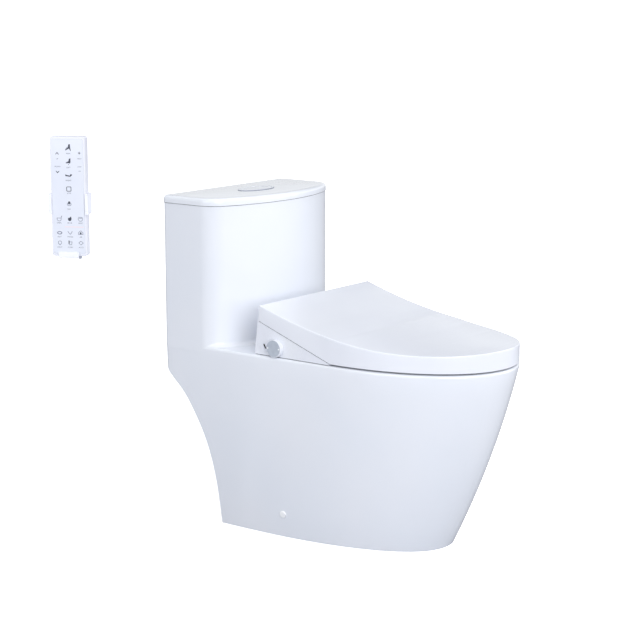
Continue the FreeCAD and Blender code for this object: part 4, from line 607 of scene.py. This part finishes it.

# %% [markdown]
# ## Dark seams, drawn as painted shade
# A gap of one millimetre between two white pieces is lit from both sides and looks pale, while
# a seam on the real toilet reads as a fine dark line of shade. So a thin dark strip sits in each
# gap, a little behind the surface, as painted shade that draws that line. The one under the
# tank's lid follows the lid, so its outline is measured on the lid's own mesh: a level cut gives
# the loop, and the loop is moved in by a small step.

# %% Outline of a level cut
def widest_loop(obj, height):
    """The longest outline, in millimetres, that a level cut through the piece leaves."""
    bm = bmesh.new()
    bm.from_mesh(obj.data)
    cut = bmesh.ops.bisect_plane(bm, geom=bm.verts[:] + bm.edges[:] + bm.faces[:],
                                 plane_co=(0, 0, height), plane_no=(0, 0, 1))["geom_cut"]
    bm.edges.index_update()
    edges = sorted((e for e in cut if isinstance(e, bmesh.types.BMEdge)), key=lambda e: e.index)
    open_edges = dict.fromkeys(edges)                # keeps its order, as a set would not
    loops = []
    while open_edges:
        edge = open_edges.popitem()[0]
        loop = list(edge.verts)
        while True:
            step = next((e for e in loop[-1].link_edges if e in open_edges), None)
            if step is None:
                break
            del open_edges[step]
            loop.append(step.other_vert(loop[-1]))
        loops.append([(v.co.x * 1000, v.co.y * 1000) for v in loop[:-1]])
    bm.free()
    return max(loops, key=lambda line: max(p[0] for p in line) - min(p[0] for p in line))


def moved_in(loop, step):
    """The same outline, moved in square to itself."""
    count = len(loop)
    area = sum(loop[i - 1][0] * loop[i][1] - loop[i][0] * loop[i - 1][1] for i in range(count))
    turn = 1 if area > 0 else -1
    result = []
    for i in range(count):
        along = Vector(loop[(i + 1) % count]) - Vector(loop[i - 1])
        along.normalize()
        result.append((loop[i][0] - along.y * step * turn, loop[i][1] + along.x * step * turn))
    return result


# %% Painted seam shade strips
LEVEL = MM                                           # a sheet that lies flat, seen from above
SIDE = Matrix(((0, 0, 1, 0), (1, 0, 0, 0), (0, 1, 0, 0), (0, 0, 0, 1))) @ MM  # square to x
LID_CUT = 0.686
SEAM_SLOPE = 0.3644                                  # of the seam between seat lid and unit
STRIP_INNER, STRIP_OUTER = 184.2, 185.8              # across the toilet, either side
DECK_SEAM = (388.55, 389.65)                         # between the unit and the china

# Painted shade strips in the gap under the tank's lid.
rim_loop = widest_loop(skins["tank_lid"], LID_CUT)
lid_seam_shade = bmesh.new()
band(lid_seam_shade, moved_in(rim_loop, 1.3), moved_in(rim_loop, 6.0), LEVEL, 682.1, 682.8)
band(lid_seam_shade, moved_in(rim_loop, 0.9), moved_in(rim_loop, 1.1), LEVEL, 681.8, 682.8)
settle(lid_seam_shade, "tank_lid_seam_shade", SEAM_SHADE, "tank_cover")

# A thin dark ring at the foot of the flush buttons' bezel is painted shade, standing for the
# shadow in the gap under the bezel.
bezel_shadow_line = bmesh.new()
band(bezel_shadow_line, oval(3, 202, 51.4, 26.9, 72), oval(3, 202, 50.8, 26.3, 72), LEVEL,
     698.35, 699.5)
settle(bezel_shadow_line, "button_bezel_shadow_line", SOFT_INK_AND_SHADE, "tank_cover")


def seam_height(y, below):
    return 392.5 + (y + 140) * SEAM_SLOPE - below


# Painted shade strips in the seams between the unit, the seat lid and the china.
unit_seam_shade = bmesh.new()
foot, head = DECK_SEAM
for sides in ((-STRIP_OUTER, -STRIP_INNER), (STRIP_INNER, STRIP_OUTER)):
    plate(unit_seam_shade, [(-133, seam_height(-133, 1.58)), (42, seam_height(42, 1.58)),
                      (42, seam_height(42, 0.5)), (-133, seam_height(-133, 0.5))], SIDE, *sides)
    plate(unit_seam_shade, [(-133, foot), (49, foot), (49, head), (-133, head)], SIDE, *sides)
plate(unit_seam_shade, [(-STRIP_INNER, 47), (STRIP_INNER, 47), (STRIP_INNER, 49), (-STRIP_INNER, 49)],
      LEVEL, foot, head)
settle(unit_seam_shade, "unit_seam_shades", SEAM_SHADE, "base")

# %% [markdown]
# The grey face of the filter knob has two small holes near its edge. Each shows the white of
# the knob behind it, here as a small white dot that turns with the knob.

# %% Dots in the face of the knob
DOTS_Y, DOTS_Z, DOT_RADIUS = (-18, 10), 408, 1.6
dimples = bmesh.new()
for y in DOTS_Y:
    plate(dimples, oval(y, DOTS_Z, DOT_RADIUS, DOT_RADIUS, 20), SIDE, -197.45, -196.6)
settle(dimples, "knob_dimples", CAP_WHITE, "knob")

# %% [markdown]
# ## Behind the lid
# With the lid up, the top of the unit shows a dark window, through which it hears the remote,
# and three status lamps beside it. They lie on the slope of the unit's roof.

# %% Window and lamps on the unit
ROOF_SLOPE = 0.3385
ROOF = (Matrix.Translation((0.085, -0.030, 0.45983))
        @ Matrix.Rotation(math.atan(ROOF_SLOPE), 4, "X") @ MM)
LAMPS_X = (-20, -27, -34)
window = bmesh.new()
plate(window, oval(0, 0, 9, 4.5, 40), ROOF, -0.4, 0.2)
settle(window, "unit_window", DARK_AND_SLOT_SHADE, "base")
frame_line = bmesh.new()
band(frame_line, oval(0, 0, 10, 5.5, 40), oval(0, 0, 9, 4.5, 40), ROOF, -0.4, 0.35)
for x in LAMPS_X:
    band(frame_line, oval(x, 0, 1.7, 1.7, 20), oval(x, 0, 1.1, 1.1, 20), ROOF, -0.4, 0.3)
settle(frame_line, "unit_window_frame", SOFT_INK_AND_SHADE, "base")
lamps = bmesh.new()
for x in LAMPS_X:
    plate(lamps, oval(x, 0, 1.1, 1.1, 20), ROOF, -0.4, 0.2)
settle(lamps, "unit_lamps", LED, "base")

# %% [markdown]
# ## Threads and rows
# A thread is one tooth swept along a helix, and grip ribs and vents are one block repeated at
# even steps. Both are rules rather than shapes, so Geometry Nodes make them: each tree takes
# its sizes as named inputs, and the same tree serves every thread or row. The result is
# turned into a plain mesh at the end, so that nothing depends on the modifier.

# %% Trees for a thread and for a row
def new_tree(name, sizes):
    """A geometry tree with these named sizes and a material as its inputs."""
    tree = bpy.data.node_groups.new(name, "GeometryNodeTree")
    tree.is_modifier = True
    for label, kind in sizes:
        tree.interface.new_socket(label, in_out="INPUT", socket_type=kind)
    tree.interface.new_socket("Material", in_out="INPUT", socket_type="NodeSocketMaterial")
    tree.interface.new_socket("Geometry", in_out="OUTPUT", socket_type="NodeSocketGeometry")
    return tree, tree.nodes.new("NodeGroupInput")


def close_tree(tree, start, shape):
    """Ends a tree: makes its copies real and gives them the material."""
    real = tree.nodes.new("GeometryNodeRealizeInstances")
    dress = tree.nodes.new("GeometryNodeSetMaterial")
    end = tree.nodes.new("NodeGroupOutput")
    tree.links.new(shape, real.inputs["Geometry"])
    tree.links.new(real.outputs["Geometry"], dress.inputs["Geometry"])
    tree.links.new(start.outputs["Material"], dress.inputs["Material"])
    tree.links.new(dress.outputs["Geometry"], end.inputs["Geometry"])
    return tree


def thread_tree():
    tree, start = new_tree("helical thread", [(size, "NodeSocketFloat") for size in
                                              ("Radius", "Pitch", "Turns", "Tooth")])
    helix = tree.nodes.new("GeometryNodeCurveSpiral")
    helix.inputs["Resolution"].default_value = 40
    rise = tree.nodes.new("ShaderNodeMath")
    rise.operation = "MULTIPLY"
    tooth = tree.nodes.new("GeometryNodeCurvePrimitiveCircle")
    tooth.inputs["Resolution"].default_value = 6
    sweep = tree.nodes.new("GeometryNodeCurveToMesh")
    sweep.inputs["Fill Caps"].default_value = True
    tree.links.new(start.outputs["Radius"], helix.inputs["Start Radius"])
    tree.links.new(start.outputs["Radius"], helix.inputs["End Radius"])
    tree.links.new(start.outputs["Turns"], helix.inputs["Rotations"])
    tree.links.new(start.outputs["Pitch"], rise.inputs[0])
    tree.links.new(start.outputs["Turns"], rise.inputs[1])
    tree.links.new(rise.outputs[0], helix.inputs["Height"])
    tree.links.new(start.outputs["Tooth"], tooth.inputs["Radius"])
    tree.links.new(helix.outputs["Curve"], sweep.inputs["Curve"])
    tree.links.new(tooth.outputs["Curve"], sweep.inputs["Profile Curve"])
    return close_tree(tree, start, sweep.outputs["Mesh"])


def row_tree():
    tree, start = new_tree("row of blocks", [("Count", "NodeSocketInt"),
                                             ("Step", "NodeSocketVector"),
                                             ("Block", "NodeSocketVector")])
    line = tree.nodes.new("GeometryNodeMeshLine")
    block = tree.nodes.new("GeometryNodeMeshCube")
    spots = tree.nodes.new("GeometryNodeInstanceOnPoints")
    tree.links.new(start.outputs["Count"], line.inputs["Count"])
    tree.links.new(start.outputs["Step"], line.inputs["Offset"])
    tree.links.new(start.outputs["Block"], block.inputs["Size"])
    tree.links.new(line.outputs["Mesh"], spots.inputs["Points"])
    tree.links.new(block.outputs["Mesh"], spots.inputs["Instance"])
    return close_tree(tree, start, spots.outputs["Instances"])


def grow(name, tree, values, spot, body):
    """Runs a tree with these values and keeps the result as a plain mesh at its spot."""
    obj = link(bpy.data.objects.new(name, bpy.data.meshes.new(name)))
    modifier = obj.modifiers.new("build", "NODES")
    modifier.node_group = tree
    for item in tree.interface.items_tree:
        if item.in_out == "INPUT":
            modifier[item.identifier] = values[item.name]
    built = obj.evaluated_get(bpy.context.evaluated_depsgraph_get())
    mesh = bpy.data.meshes.new_from_object(built)
    obj.modifiers.remove(modifier)
    mesh.transform(spot)
    obj.data = mesh
    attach(obj, body)
    print(name, "has", len(mesh.polygons), "faces")


THREAD, ROW = thread_tree(), row_tree()

# %% [markdown]
# Both water connections carry a pipe thread with fourteen turns to the inch, the real pitch
# of such fittings, which is 1.814 mm. They differ in their radius and in how far they run.

# %% Threads
PIPE = {"Pitch": 0.001814, "Tooth": 0.00042}
grow("supply_thread", THREAD, {**PIPE, "Radius": 0.0110, "Turns": 11.0, "Material": NYLON},
     Matrix.Translation((-0.125, 0.226, 0.3432)), "base")
grow("inlet_thread", THREAD, {**PIPE, "Radius": 0.0103, "Turns": 6.8, "Material": BRASS},
     Matrix.Translation((-0.112, 0.0533, 0.404)) @ Matrix.Rotation(math.radians(-90), 4, "X"),
     "base")

# %% [markdown]
# The battery door slides off upwards, so it has a few grip ribs across it. The back of the
# unit leans by 8 mm over its 65 mm of height, and a row of short vents there lets in the
# dryer's air. The vents are dark bars on the surface, painted shade in place of recessed slots.

# %% Ribs and vents
BACK_LEAN = math.atan(8 / 65)
grow("door_ribs", ROW, {"Count": 7, "Step": (0, 0, 0.0022), "Block": (0.022, 0.0005, 0.0009),
                        "Material": REMOTE_CASE},
     REMOTE @ Matrix.Translation((0, 0.0110, 0.080)), "battery_door")
# Dark bars as painted shade for the vent slots.
grow("unit_vent_shade_bars", ROW, {"Count": 9, "Step": (0.006, 0, 0), "Block": (0.0026, 0.0006, 0.016),
                         "Material": DARK_AND_SLOT_SHADE},
     Matrix.Translation((0.030, 0.0485, 0.420)) @ Matrix.Rotation(BACK_LEAN, 4, "X"),
     "base")
